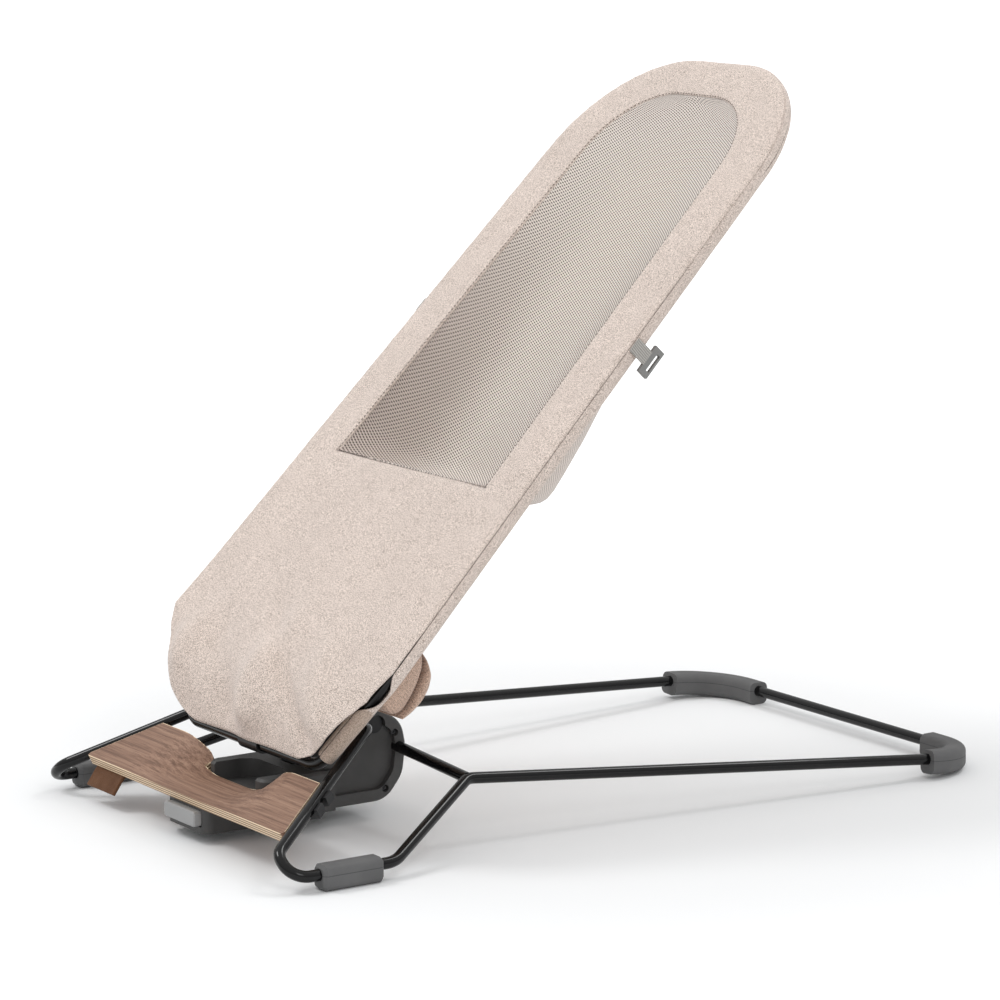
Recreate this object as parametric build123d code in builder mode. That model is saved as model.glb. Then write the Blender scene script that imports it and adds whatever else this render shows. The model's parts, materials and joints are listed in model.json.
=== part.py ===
from build123d import *

import os
from math import asin, atan2, cos, degrees, hypot, radians, sin, tan

# A wire-framed bouncer seat. X runs across, +Y from the foot end to the head
# end, +Z up. The origin is on the floor, under the middle of the base.

# Overall stance of the base
BASE_LENGTH = 675.0
REAR_HALF_WIDTH = 181.0
FOOT_HALF_WIDTH = 187.0

# Base tube
TUBE_DIAMETER = 9.0
FOOT_TUBE_HEIGHT = 12.0
REAR_CORNER_RADIUS = 45.0
REAR_ARM = 8.0
BEND_HALF_WIDTH = 134.0
BEND_SETBACK = 192.5
BEND_HEIGHT = 50.6
BEND_RADIUS = 14.0
LEG_JOINT_BACK = 30.0
LEG_CORNER_SETBACK = 93.0
LEG_CORNER_RADIUS = 25.0
CURL_RADIUS = 15.0
CURL_HALF_WIDTH = 166.0
CURL_HEIGHT = 26.0
ELBOW_HALF_WIDTH = 85.8
ELBOW_SETBACK = 133.2
ELBOW_HEIGHT = 88.0
ELBOW_RADIUS = 14.0
LEG_END_HALF_WIDTH = 24.0
LEG_END_SETBACK = 162.0
LEG_END_HEIGHT = 62.0
STRUT_INNER_HALF_WIDTH = 18.0
STRUT_RISE = 6.5
SPIGOT_DIAMETER = 5.0
SPIGOT_LENGTH = 24.0
FIT = 0.1

# Feet
FRONT_FOOT_LENGTH = 52.0
FRONT_FOOT_SETBACK = 27.0
FRONT_FOOT_WIDTH = 17.5
FRONT_FOOT_HEIGHT = 19.5
FRONT_FOOT_CORNER = 5.0
FRONT_FOOT_BEVEL = 2.5
REAR_FOOT_WIDTH = 19.0
REAR_FOOT_HEIGHT = 19.5
REAR_FOOT_CORNER = 5.5
REAR_FOOT_SIDE_COVER = 3.0
REAR_FOOT_BAR_COVER = 16.0

# Hub core: housing, tray and nose
HUB_BOTTOM = 15.0
CORE_HALF_WIDTH = 30.0
HOUSING_FRONT_SETBACK = 122.0
HOUSING_REAR_SETBACK = 199.0
HOUSING_TOP = 90.0
HOUSING_CORNER = 8.0
HOUSING_ROUND = 22.0
HEEL_RUN = 18.0
HEEL_STEP = 3.0
HEEL_RISE = 19.0
REAR_RISE = 42.0
SHOULDER_RUN = 4.0
SHOULDER_DROP = 14.0
BROW_RUN = 16.0
BROW_DROP = 4.0
SILL_RISE = 1.0
TRAY_HALF_WIDTH = 44.0
TRAY_FRONT_SETBACK = 66.0
TRAY_TOP = 47.0
TRAY_CORNER = 10.0
TRAY_EDGE = 2.0
RECESS_WIDTH = 62.0
RECESS_DEPTH = 15.0
RECESS_CORNER = 15.0
RECESS_REAR_RIM = 22.0
NOSE_HALF_WIDTH = 30.0
NOSE_FRONT_SETBACK = 22.0
NOSE_BOTTOM = 8.0
NOSE_TOP = 27.4
NOSE_CORNER = 8.0
SLOT_FLOOR = 54.0
SLOT_FRONT_SETBACK = 100.0
SLOT_REAR_WALL = 6.5

# Side covers of the hub
COVER_THICKNESS = 8.0
COVER_RIM = 9.5
COVER_DISH_DEPTH = 5.0
COVER_EDGE = 1.5
SCREW_HEAD_DIAMETER = 6.0
SCREW_HEAD_DEPTH = 3.0
SCREW_STATIONS = ((188.5, 68.0), (179.5, 24.5), (130.5, 40.0))

# Recline pivot and seat carrier
PIVOT_SETBACK = 172.0
PIVOT_HEIGHT = 76.0
AXLE_DIAMETER = 10.0
AXLE_CAP_DIAMETER = 14.0
AXLE_CAP_THICKNESS = 2.0
RUNNING_CLEARANCE = 0.05
BUSH_DIAMETER = 14.0
KNUCKLE_DIAMETER = 24.0
CARRIER_HALF_WIDTH = 14.0
CARRIER_CLEARANCE = 0.5
CLAMP_DIAMETER = 13.6

# Release button, fork, lock bolt and toothed sector
BUTTON_WIDTH = 47.0
BUTTON_HEIGHT = 12.0
BUTTON_PROUD = 6.0
BUTTON_DEPTH = 9.0
BUTTON_CENTRE_HEIGHT = 19.4
BUTTON_CORNER = 3.0
BUTTON_EDGE = 1.0
BUTTON_CLEARANCE = 0.6
BUTTON_TRAVEL = 4.0
FORK_HEIGHT = 22.0
FORK_RAISED_HEIGHT = 38.0
FORK_RAMP_START = 118.0
FORK_RAMP_LENGTH = 21.0
FORK_BAR = 5.0
FORK_PRONG = 4.0
FORK_BRIDGE = 13.0
PIN_DIAMETER = 5.0
PIN_EYE_DIAMETER = 11.0
SLIDE_CLEARANCE = 0.4
PIN_SLOT_CLEARANCE = 0.3
CHANNEL_CLEARANCE = 1.5
RAMP_CLEARANCE = 6.0
BOLT_THICKNESS = 8.0
BOLT_STEM = 12.0
BOLT_FOOT = 21.0
BOLT_FOOT_HEIGHT = 14.0
SECTOR_RADIUS = 20.0
SECTOR_THICKNESS = 8.0
SECTOR_START = 262.0
SECTOR_END = 318.0
NOTCH_ANGLES = (270.0, 290.0, 310.0)
NOTCH_WIDTH = 3.4
NOTCH_DEPTH = 4.0
KEY_WIDTH = 6.0
KEY_DEPTH = 3.0
LOCK_CLEARANCE = 0.5
SPRING_DIAMETER = 8.0
SPRING_LENGTH = 9.0
SPRING_WIRE = 1.2

# Footplate, in its own sloping plane
PLATE_LENGTH = 58.0
PLATE_THICKNESS = 8.0
PLATE_FRONT_SETBACK = 19.0
PLATE_ABOVE_TUBE = 3.0
PLATE_TUBE_GAP = 0.3
PLATE_VALLEY_DEPTH = 25.5
PLATE_FRONT_DIP = 0.6
PLATE_VALLEY_HALF = 18.0
PLATE_WING_INNER = 86.0
PLATE_NOTCH_GAP = 0.6
PLATE_FRONT_CORNER = 3.0
PLATE_REAR_CORNER = 9.0
CLIP_WIDTH = 10.0
CLIP_REACH = 16.0
CLIP_WALL = 3.0
CLIP_STATIONS = {"front": 0.62, "rear": 0.86}
STRAP_WIDTH = 43.0
STRAP_THICKNESS = 3.0
STRAP_INNER_X = 97.0
STRAP_SEAT = 20.0
STRAP_OVERHANG = 14.0
STRAP_DROOP = 8.0
STRAP_BEND = 12.0

# Seat plane, outline and tube
SEAT_ANGLE = 45.1
SEAT_REFERENCE_SETBACK = 127.0
SEAT_REFERENCE_HEIGHT = 168.3
SEAT_TUBE_DIAMETER = 10.0
SEAT_LOWER_HALF_WIDTH = 161.5
SEAT_HEAD_HALF_WIDTH = 135.5
SEAT_LOWER_END = -29.0
SEAT_HEAD_END = 573.0
SEAT_HEAD_RADIUS = 107.0
RAIL_BEND_RADIUS = 30.0
CROSSBAR_HALF_WIDTH = 95.0
CROSSBAR_SETBACK = 84.0
CROSSBAR_HEIGHT = 67.0
CROSSBAR_RADIUS = 22.0
CROSSBAR_UPTURN = 40.0
SLEEVE_WALL_LOWER = 1.5
SLEEVE_WALL_UPPER = 2.2
SLEEVE_START = 10.0
SLEEVE_LENGTH = 76.0

# Fabric
FABRIC = 2.0
BACK_LIP = 14.0
LIP_START = 6.0
MESH_START = 142.0
MESH_SIDE_BORDER = 48.3
MESH_HEAD_BORDER = 37.0
MESH_THICKNESS = 2.5
SEAM = 6.0
POUCH_DEPTH = 58.0
POUCH_FRONT_DEPTH = 26.0
POUCH_BOTTOM_RUN = 32.0
POUCH_HEAD_DEPTH = 6.0
POUCH_MIDDLE_SHARE = 0.4
POUCH_MIDDLE_DEPTH = 38.0
POUCH_SIDE_SLOPE = 6.0
FLAP_CURL_START = -45.0
FLAP_CURL_RADIUS = 68.0
FLAP_CURL_TURN = 90.0 - SEAT_ANGLE
FLAP_HEM_RUN = 18.0
FLAP_HEM_HALF_WIDTH = 98.0
FLAP_CORNER = 60.0
FLAP_SHOULDER = 20.0
STOWED_SIDE_MARGIN = 29.5
STOWED_LAYERS = 4
STOWED_LAYER = 9.0
STOWED_FOLD_LENGTH = 58.0
STOWED_LAYER_PITCH = 13.0
STOWED_TOP = 18.0

# Side tabs
TAB_STATION = 293.0
TAB_DEPTH = 2.6
WEBBING_WIDTH = 12.5
WEBBING_LENGTH = 19.0
WEBBING_THICKNESS = 2.0
WEBBING_DROOP = 86.0
SWING_CLEARANCE = 0.3
SLOT_PLATE_LENGTH = 25.0
SLOT_PLATE_DEPTH = 10.0
SLOT_PLATE_THICKNESS = 3.2
SLOT_LENGTH = 16.0
SLOT_WIDTH = 3.2

FRONT_Y = -BASE_LENGTH / 2
REAR_BAR_Y = BASE_LENGTH / 2 - REAR_FOOT_WIDTH / 2
TUBE_RADIUS = TUBE_DIAMETER / 2
SEAT_TUBE_RADIUS = SEAT_TUBE_DIAMETER / 2
SIDES = {"left": -1, "right": 1}

os.makedirs("parts", exist_ok=True)


def save(builder, name):
    """Label one finished piece and write it."""
    builder.part.label = name
    export_step(builder.part, f"parts/{name}.step")


def at(x, setback, z):
    """A point given by its setback from the foot end of the base."""
    return Vector(x, FRONT_Y + setback, z)


def toward(start, end, distance):
    """The point a distance along the line from start to end."""
    return start + (end - start).normalized() * distance


def bent_tube(points, radii, diameter):
    """A round tube along straight runs joined by tangent arcs."""
    with BuildPart() as tube:
        with BuildLine() as path:
            FilletPolyline(*points, radius=radii)
        with BuildSketch(Plane(origin=path.line @ 0, z_dir=path.line % 0)):
            Circle(diameter / 2)
        sweep(path=path.line)
    return tube


def straight_tube(start, end, diameter):
    """A round bar between two points."""
    with BuildPart() as bar:
        with BuildSketch(Plane(origin=start, z_dir=end - start)):
            Circle(diameter / 2)
        extrude(amount=(end - start).length)
    return bar


# Stations along the right half of the base tube; the left half mirrors them
def mirrored(point, side):
    return Vector(side * point.X, point.Y, point.Z)


rear_corner = Vector(REAR_HALF_WIDTH, REAR_BAR_Y, FOOT_TUBE_HEIGHT)
bend = at(BEND_HALF_WIDTH, BEND_SETBACK, BEND_HEIGHT)
side_direction = (bend - rear_corner).normalized()
rear_turn = 90 + degrees(asin(-side_direction.X))
rear_tangent = REAR_CORNER_RADIUS * tan(radians(rear_turn / 2))
rear_joint = rear_corner + side_direction * (rear_tangent + REAR_ARM)
leg_joint = toward(bend, rear_corner, LEG_JOINT_BACK)
leg_corner = at(FOOT_HALF_WIDTH, LEG_CORNER_SETBACK, FOOT_TUBE_HEIGHT)
curl_low = at(FOOT_HALF_WIDTH, TUBE_RADIUS, FOOT_TUBE_HEIGHT)
curl_high = at(CURL_HALF_WIDTH, TUBE_RADIUS, CURL_HEIGHT)
elbow = at(ELBOW_HALF_WIDTH, ELBOW_SETBACK, ELBOW_HEIGHT)
leg_end = at(LEG_END_HALF_WIDTH, LEG_END_SETBACK, LEG_END_HEIGHT)
leg_route = [leg_joint, bend, leg_corner, curl_low, curl_high, elbow, leg_end]
leg_radii = [BEND_RADIUS, LEG_CORNER_RADIUS, CURL_RADIUS, CURL_RADIUS, ELBOW_RADIUS]
strut_inner = at(STRUT_INNER_HALF_WIDTH, BEND_SETBACK, BEND_HEIGHT + STRUT_RISE)

# Rear crossbar with its two rounded corners
rear_tube = bent_tube(
    [mirrored(rear_joint, -1), mirrored(rear_corner, -1), rear_corner, rear_joint],
    REAR_CORNER_RADIUS,
    TUBE_DIAMETER,
)
for side in SIDES.values():
    socket = straight_tube(
        mirrored(rear_joint, side),
        mirrored(rear_joint - side_direction * SPIGOT_LENGTH / 2, side),
        SPIGOT_DIAMETER,
    )
    with rear_tube:
        add(socket.part, mode=Mode.SUBTRACT)
save(rear_tube, "rear_tube")

# Long side tubes, front legs, struts, joining spigots and feet
leg_sockets = []
for name, side in SIDES.items():
    side_tube = straight_tube(mirrored(rear_joint, side), mirrored(leg_joint, side), TUBE_DIAMETER)
    front_leg = bent_tube([mirrored(point, side) for point in leg_route], leg_radii, TUBE_DIAMETER)
    for end, joint in {"rear": rear_joint, "front": leg_joint}.items():
        half = side_direction * SPIGOT_LENGTH / 2
        spigot = straight_tube(mirrored(joint - half, side), mirrored(joint + half, side), SPIGOT_DIAMETER)
        save(spigot, f"spigot_{end}_{name}")
        for tube in (side_tube, front_leg):
            if end == "front" or tube is side_tube:
                with tube:
                    add(spigot.part, mode=Mode.SUBTRACT)
    save(side_tube, f"side_tube_{name}")
    save(front_leg, f"front_leg_{name}")

    strut = straight_tube(mirrored(strut_inner, side), mirrored(bend, side), TUBE_DIAMETER)
    with strut:
        add(front_leg.part, mode=Mode.SUBTRACT)
    save(strut, f"strut_{name}")

    socket_diameter = TUBE_DIAMETER + 2 * FIT
    socket_start = toward(elbow, leg_end, ELBOW_RADIUS)
    leg_sockets.append(straight_tube(mirrored(socket_start, side), mirrored(leg_end, side), socket_diameter))
    leg_sockets.append(straight_tube(mirrored(bend, side), mirrored(strut_inner, side), socket_diameter))

    # Rubber sleeve under the front tube run
    sleeve_start = at(side * FOOT_HALF_WIDTH, FRONT_FOOT_SETBACK, 0)
    with BuildPart() as front_foot:
        with BuildSketch(Plane(origin=sleeve_start, x_dir=(-1, 0, 0), z_dir=(0, 1, 0))):
            with Locations((0, FRONT_FOOT_HEIGHT / 2)):
                RectangleRounded(FRONT_FOOT_WIDTH, FRONT_FOOT_HEIGHT, FRONT_FOOT_CORNER)
            with Locations((0, FOOT_TUBE_HEIGHT)):
                Circle(TUBE_RADIUS + FIT, mode=Mode.SUBTRACT)
        extrude(amount=FRONT_FOOT_LENGTH)
        ends = front_foot.faces().filter_by(Axis.Y)
        chamfer([face.outer_wire().edges() for face in ends], FRONT_FOOT_BEVEL)
    save(front_foot, f"front_foot_{name}")

    # Rubber sleeve round the rear corner
    bar_end = rear_corner - Vector(rear_tangent + REAR_FOOT_BAR_COVER, 0, 0)
    arm_end = rear_corner + side_direction * (rear_tangent + REAR_FOOT_SIDE_COVER)
    corner_route = [mirrored(point, side) for point in (bar_end, rear_corner, arm_end)]
    start_plane = Plane(origin=corner_route[0], x_dir=(0, side, 0), z_dir=(side, 0, 0))
    with BuildPart() as rear_foot:
        with BuildLine() as corner_path:
            FilletPolyline(*corner_route, radius=REAR_CORNER_RADIUS)
        with BuildSketch(start_plane):
            with Locations((0, REAR_FOOT_HEIGHT / 2 - FOOT_TUBE_HEIGHT)):
                RectangleRounded(REAR_FOOT_WIDTH, REAR_FOOT_HEIGHT, REAR_FOOT_CORNER)
            Circle(TUBE_RADIUS + FIT, mode=Mode.SUBTRACT)
        sweep(path=corner_path.line)
    save(rear_foot, f"rear_foot_{name}")


def housing_outline():
    """Housing seen from the side, from its front foot round the rear; drawn on the middle plane."""
    points = [
        (HOUSING_FRONT_SETBACK, HUB_BOTTOM),
        (HOUSING_REAR_SETBACK - HEEL_RUN, HUB_BOTTOM),
        (HOUSING_REAR_SETBACK - HEEL_STEP, HUB_BOTTOM + HEEL_RISE),
        (HOUSING_REAR_SETBACK, HUB_BOTTOM + REAR_RISE),
        (HOUSING_REAR_SETBACK - SHOULDER_RUN, HOUSING_TOP - SHOULDER_DROP),
        (PIVOT_SETBACK, HOUSING_TOP),
        (PIVOT_SETBACK - BROW_RUN, HOUSING_TOP - BROW_DROP),
        (HOUSING_FRONT_SETBACK, TRAY_TOP + SILL_RISE),
    ]
    radii = [HOUSING_CORNER] + [HOUSING_ROUND] * (len(points) - 2) + [HOUSING_CORNER]
    with BuildLine() as outline:
        FilletPolyline(*[(FRONT_Y + setback, z) for setback, z in points], radius=radii, close=True)
    make_face(outline.edges())


def side_box(setbacks, heights, half_width):
    """A block across the middle plane, given by its side view."""
    with BuildPart() as block:
        with BuildSketch(Plane.YZ):
            with Locations((FRONT_Y + sum(setbacks) / 2, sum(heights) / 2)):
                Rectangle(setbacks[1] - setbacks[0], heights[1] - heights[0])
        extrude(amount=half_width, both=True)
    return block.part


# Stations of the pivot, the release fork and the lock bolt
pivot = at(0, PIVOT_SETBACK, PIVOT_HEIGHT)
pivot_side = (pivot.Y, pivot.Z)
bolt_top = PIVOT_HEIGHT - SECTOR_RADIUS - LOCK_CLEARANCE
bolt_foot_top = FORK_RAISED_HEIGHT + BUTTON_TRAVEL + PIN_DIAMETER
bolt_foot_bottom = bolt_foot_top - BOLT_FOOT_HEIGHT
bolt_foot_rear = PIVOT_SETBACK + PIN_EYE_DIAMETER
chamber_floor = bolt_foot_bottom - SPRING_LENGTH
chamber_top = bolt_foot_top + SLIDE_CLEARANCE
chamber_rear = bolt_foot_rear + CHANNEL_CLEARANCE
chamber_front = FORK_RAMP_START - RAMP_CLEARANCE
ramp_end = FORK_RAMP_START + FORK_RAMP_LENGTH
stem_bore_half = BOLT_STEM / 2 + SLIDE_CLEARANCE
channel_low = FORK_HEIGHT - FORK_BAR / 2 - CHANNEL_CLEARANCE
channel_high = FORK_HEIGHT + FORK_BAR / 2 + CHANNEL_CLEARANCE
channel_half = BOLT_THICKNESS / 2 + SLIDE_CLEARANCE + FORK_PRONG + CHANNEL_CLEARANCE
slot_half = CARRIER_HALF_WIDTH + CARRIER_CLEARANCE
slot_rear = HOUSING_REAR_SETBACK - SLOT_REAR_WALL
button_front = NOSE_FRONT_SETBACK - BUTTON_PROUD
button_back = button_front + BUTTON_DEPTH
pocket_back = button_back + BUTTON_TRAVEL + BUTTON_CLEARANCE
cover_outer = CORE_HALF_WIDTH + COVER_THICKNESS
dish_floor = cover_outer - COVER_DISH_DEPTH

# Hub core: housing, tray and nose in one moulding, hollowed for the mechanism
with BuildPart() as hub_core:
    with BuildSketch(Plane.YZ):
        housing_outline()
    extrude(amount=CORE_HALF_WIDTH, both=True)
    tray_length = HOUSING_FRONT_SETBACK + HOUSING_CORNER - TRAY_FRONT_SETBACK
    with BuildSketch(Plane.XY.offset(HUB_BOTTOM)):
        with Locations((0, FRONT_Y + TRAY_FRONT_SETBACK + tray_length / 2)):
            Rectangle(2 * TRAY_HALF_WIDTH, tray_length)
        fillet(vertices().sort_by(Axis.Y)[:2], TRAY_CORNER)
    extrude(amount=TRAY_TOP - HUB_BOTTOM)
    tray_rim = faces().filter_by(Axis.Z).filter_by_position(Axis.Z, TRAY_TOP, TRAY_TOP)
    chamfer(tray_rim.edges().filter_by_position(Axis.Y, -BASE_LENGTH, tray_rim.face().center().Y), TRAY_EDGE)
    nose_length = TRAY_FRONT_SETBACK + TRAY_CORNER - NOSE_FRONT_SETBACK
    with BuildSketch(Plane.XY.offset(NOSE_BOTTOM)):
        with Locations((0, FRONT_Y + NOSE_FRONT_SETBACK + nose_length / 2)):
            RectangleRounded(2 * NOSE_HALF_WIDTH, nose_length, NOSE_CORNER)
    extrude(amount=NOSE_TOP - NOSE_BOTTOM)
    recess_rear = HOUSING_FRONT_SETBACK - RECESS_REAR_RIM
    with BuildSketch(Plane.XY.offset(TRAY_TOP)):
        with Locations((0, FRONT_Y + TRAY_FRONT_SETBACK)):
            RectangleRounded(RECESS_WIDTH, 2 * (recess_rear - TRAY_FRONT_SETBACK), RECESS_CORNER)
    extrude(amount=-RECESS_DEPTH, mode=Mode.SUBTRACT)
    hollows = [
        side_box((SLOT_FRONT_SETBACK, slot_rear), (SLOT_FLOOR, HOUSING_TOP + HOUSING_CORNER), slot_half),
        side_box((button_front, chamber_front), (channel_low, channel_high), channel_half),
        side_box((chamber_front, ramp_end), (channel_low, chamber_top), channel_half),
        side_box((chamber_front, chamber_rear), (chamber_floor, chamber_top), channel_half),
        side_box(
            (PIVOT_SETBACK - stem_bore_half, PIVOT_SETBACK + stem_bore_half),
            (chamber_floor, SLOT_FLOOR + SLIDE_CLEARANCE),
            BOLT_THICKNESS / 2 + SLIDE_CLEARANCE,
        ),
        side_box(
            (button_front, pocket_back),
            (
                BUTTON_CENTRE_HEIGHT - BUTTON_HEIGHT / 2 - BUTTON_CLEARANCE,
                BUTTON_CENTRE_HEIGHT + BUTTON_HEIGHT / 2 + BUTTON_CLEARANCE,
            ),
            BUTTON_WIDTH / 2 + BUTTON_CLEARANCE,
        ),
    ]
    for hollow in hollows:
        add(hollow, mode=Mode.SUBTRACT)
    for socket in leg_sockets:
        add(socket.part, mode=Mode.SUBTRACT)
    with BuildSketch(Plane.YZ):
        with Locations(pivot_side):
            Circle(AXLE_DIAMETER / 2 + FIT)
    extrude(amount=CORE_HALF_WIDTH, both=True, mode=Mode.SUBTRACT)
save(hub_core, "hub_core")

# Side covers: dished plates with a raised rim and three screw bosses
for name, side in SIDES.items():
    with BuildPart() as hub_side:
        with BuildSketch(Plane.YZ.offset(side * CORE_HALF_WIDTH)):
            housing_outline()
        extrude(amount=side * COVER_THICKNESS)
        outer = faces().sort_by(Axis.X)[-1 if side > 0 else 0]
        chamfer(outer.edges(), COVER_EDGE)
        with BuildSketch(Plane.YZ.offset(side * cover_outer)):
            housing_outline()
            offset(amount=-COVER_RIM, mode=Mode.REPLACE)
            with Locations(pivot_side):
                Circle(AXLE_CAP_DIAMETER / 2 + BUTTON_CLEARANCE)
        extrude(amount=-side * COVER_DISH_DEPTH, mode=Mode.SUBTRACT)
        with BuildSketch(Plane.YZ.offset(side * cover_outer)):
            for setback, height in SCREW_STATIONS:
                with Locations((FRONT_Y + setback, height)):
                    Circle(SCREW_HEAD_DIAMETER / 2)
        extrude(amount=-side * SCREW_HEAD_DEPTH, mode=Mode.SUBTRACT)
        with BuildSketch(Plane.YZ.offset(side * CORE_HALF_WIDTH)):
            with Locations(pivot_side):
                Circle(AXLE_DIAMETER / 2 + FIT)
        extrude(amount=side * COVER_THICKNESS, mode=Mode.SUBTRACT)
        for socket in leg_sockets:
            add(socket.part, mode=Mode.SUBTRACT)
        with BuildSketch(Plane.XY.offset(HUB_BOTTOM)):
            with Locations((0, FRONT_Y + TRAY_FRONT_SETBACK + tray_length / 2)):
                Rectangle(2 * TRAY_HALF_WIDTH, tray_length)
        extrude(amount=TRAY_TOP - HUB_BOTTOM, mode=Mode.SUBTRACT)
    save(hub_side, f"hub_side_{name}")

    with BuildPart() as pivot_cap:
        with BuildSketch(Plane.YZ.offset(side * dish_floor)):
            with Locations(pivot_side):
                Circle(AXLE_CAP_DIAMETER / 2)
        extrude(amount=side * AXLE_CAP_THICKNESS)
    save(pivot_cap, f"pivot_cap_{name}")

with BuildPart() as pivot_axle:
    with BuildSketch(Plane.YZ):
        with Locations(pivot_side):
            Circle(AXLE_DIAMETER / 2)
    extrude(amount=dish_floor, both=True)
save(pivot_axle, "pivot_axle")

# Release button, and the fork that carries its push back to the lock bolt
with BuildPart() as release_button:
    with BuildSketch(Plane.XZ.offset(-FRONT_Y - button_back)):
        with Locations((0, BUTTON_CENTRE_HEIGHT)):
            RectangleRounded(BUTTON_WIDTH, BUTTON_HEIGHT, BUTTON_CORNER)
    extrude(amount=BUTTON_DEPTH)
    chamfer(faces().sort_by(Axis.Y)[0].edges(), BUTTON_EDGE)
save(release_button, "release_button")

pin_setback = PIVOT_SETBACK
fork_line = [
    (FRONT_Y + button_back, FORK_HEIGHT),
    (FRONT_Y + FORK_RAMP_START, FORK_HEIGHT),
    (FRONT_Y + ramp_end, FORK_RAISED_HEIGHT),
    (FRONT_Y + pin_setback, FORK_RAISED_HEIGHT),
]
prong_inner = BOLT_THICKNESS / 2 + SLIDE_CLEARANCE
prong_outer = prong_inner + FORK_PRONG
with BuildPart() as release_fork:
    with BuildSketch(Plane.YZ):
        with BuildLine():
            Polyline(*fork_line)
        trace(line_width=FORK_BAR)
        with Locations(fork_line[-1]):
            Circle(PIN_EYE_DIAMETER / 2)
            Circle(PIN_DIAMETER / 2, mode=Mode.SUBTRACT)
    extrude(amount=prong_outer, both=True)
    bridge_back = button_back + FORK_BRIDGE
    add(
        side_box((bridge_back, chamber_rear), (0, HOUSING_TOP), prong_inner),
        mode=Mode.SUBTRACT,
    )
    split(bisect_by=Plane.XZ.offset(-FRONT_Y - button_back), keep=Keep.BOTTOM)
save(release_fork, "release_fork")

with BuildPart() as fork_pin:
    with BuildSketch(Plane.YZ):
        with Locations(fork_line[-1]):
            Circle(PIN_DIAMETER / 2)
    extrude(amount=prong_outer, both=True)
save(fork_pin, "fork_pin")

# Lock bolt: the pin pushed along its slanted slot draws the tooth down
slot_run = BUTTON_TRAVEL * 2**0.5
pin_slot_width = PIN_DIAMETER + 2 * PIN_SLOT_CLEARANCE
tooth_base = bolt_top - NOTCH_DEPTH
with BuildPart() as lock_bolt:
    with BuildSketch(Plane.YZ):
        with Locations((pivot.Y, (bolt_foot_bottom + tooth_base) / 2)):
            Rectangle(BOLT_STEM, tooth_base - bolt_foot_bottom)
        with Locations((pivot.Y, (tooth_base + bolt_top) / 2)):
            Rectangle(NOTCH_WIDTH - 2 * SLIDE_CLEARANCE, NOTCH_DEPTH)
        with Locations((FRONT_Y + bolt_foot_rear - BOLT_FOOT / 2, (bolt_foot_bottom + bolt_foot_top) / 2)):
            Rectangle(BOLT_FOOT, BOLT_FOOT_HEIGHT)
        with Locations((pivot.Y + BUTTON_TRAVEL / 2, FORK_RAISED_HEIGHT + BUTTON_TRAVEL / 2)):
            SlotCenterToCenter(slot_run, pin_slot_width, rotation=45, mode=Mode.SUBTRACT)
    extrude(amount=BOLT_THICKNESS / 2, both=True)
save(lock_bolt, "lock_bolt")

with BuildPart() as bolt_spring:
    with BuildSketch(Plane.XY.offset(chamber_floor)):
        with Locations((0, pivot.Y)):
            Circle(SPRING_DIAMETER / 2)
            Circle(SPRING_DIAMETER / 2 - SPRING_WIRE, mode=Mode.SUBTRACT)
    extrude(amount=SPRING_LENGTH)
save(bolt_spring, "bolt_spring")

# Footplate: a moulded sheet, flat along the foot edge and dipping to a valley at the tray
plate_rise = degrees(atan2(elbow.Z - curl_high.Z, elbow.Y - curl_high.Y))
plate_up = Vector(0, cos(radians(plate_rise)), sin(radians(plate_rise)))
plate_normal = Vector(0, -plate_up.Z, plate_up.Y)
tube_run = elbow - curl_high
plate_start = (PLATE_FRONT_SETBACK - TUBE_RADIUS) / (ELBOW_SETBACK - TUBE_RADIUS)
plate_end = plate_start + PLATE_LENGTH / hypot(tube_run.Y, tube_run.Z)
plate_front_point = curl_high + tube_run * plate_start
tube_slant = atan2(-tube_run.X, hypot(tube_run.Y, tube_run.Z))
side_gap = (TUBE_RADIUS + PLATE_TUBE_GAP) / cos(tube_slant)
sheet_middle = PLATE_ABOVE_TUBE - PLATE_THICKNESS / 2


def plate_plane(distance):
    """Cross section plane of the footplate, a distance up from its foot edge."""
    return Plane(
        origin=Vector(0, plate_front_point.Y, plate_front_point.Z) + plate_up * distance,
        x_dir=(1, 0, 0),
        z_dir=-plate_up,
    )


def plate_section(fraction, depth):
    """Flat wings, two tangent arcs down each side and a flat valley floor."""
    half = (curl_high + tube_run * fraction).X - side_gap
    spread = half / ((curl_high + tube_run * plate_end).X - side_gap)
    wing = PLATE_WING_INNER * spread
    floor = PLATE_VALLEY_HALF * spread
    slope = 2 * atan2(depth, wing - floor)
    edge = PLATE_THICKNESS / 2
    rows = {}
    for face, lift in (("top", edge), ("under", -edge)):
        lean = Vector(-sin(slope), cos(slope)) * lift
        rows[face] = [
            Vector(half, sheet_middle + lift),
            Vector(wing, sheet_middle + lift),
            Vector((wing + floor) / 2, sheet_middle - depth / 2) + lean,
            Vector(floor, sheet_middle - depth + lift),
        ]
    return rows


def plate_edge(points):
    """One face of the sheet, from its right edge to its left edge."""
    right = [Vector(point.X, point.Y) for point in points]
    left = [Vector(-point.X, point.Y) for point in reversed(right)]
    run = right + left
    headings = {1: Vector(-1, 0), 2: None, 4: Vector(-1, 0), 5: None}
    previous = None
    for index in range(len(run) - 1):
        if index in headings:
            tangent = headings[index] or previous % 1
            previous = TangentArc(run[index], run[index + 1], tangent=tangent)
        else:
            previous = Line(run[index], run[index + 1])


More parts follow.
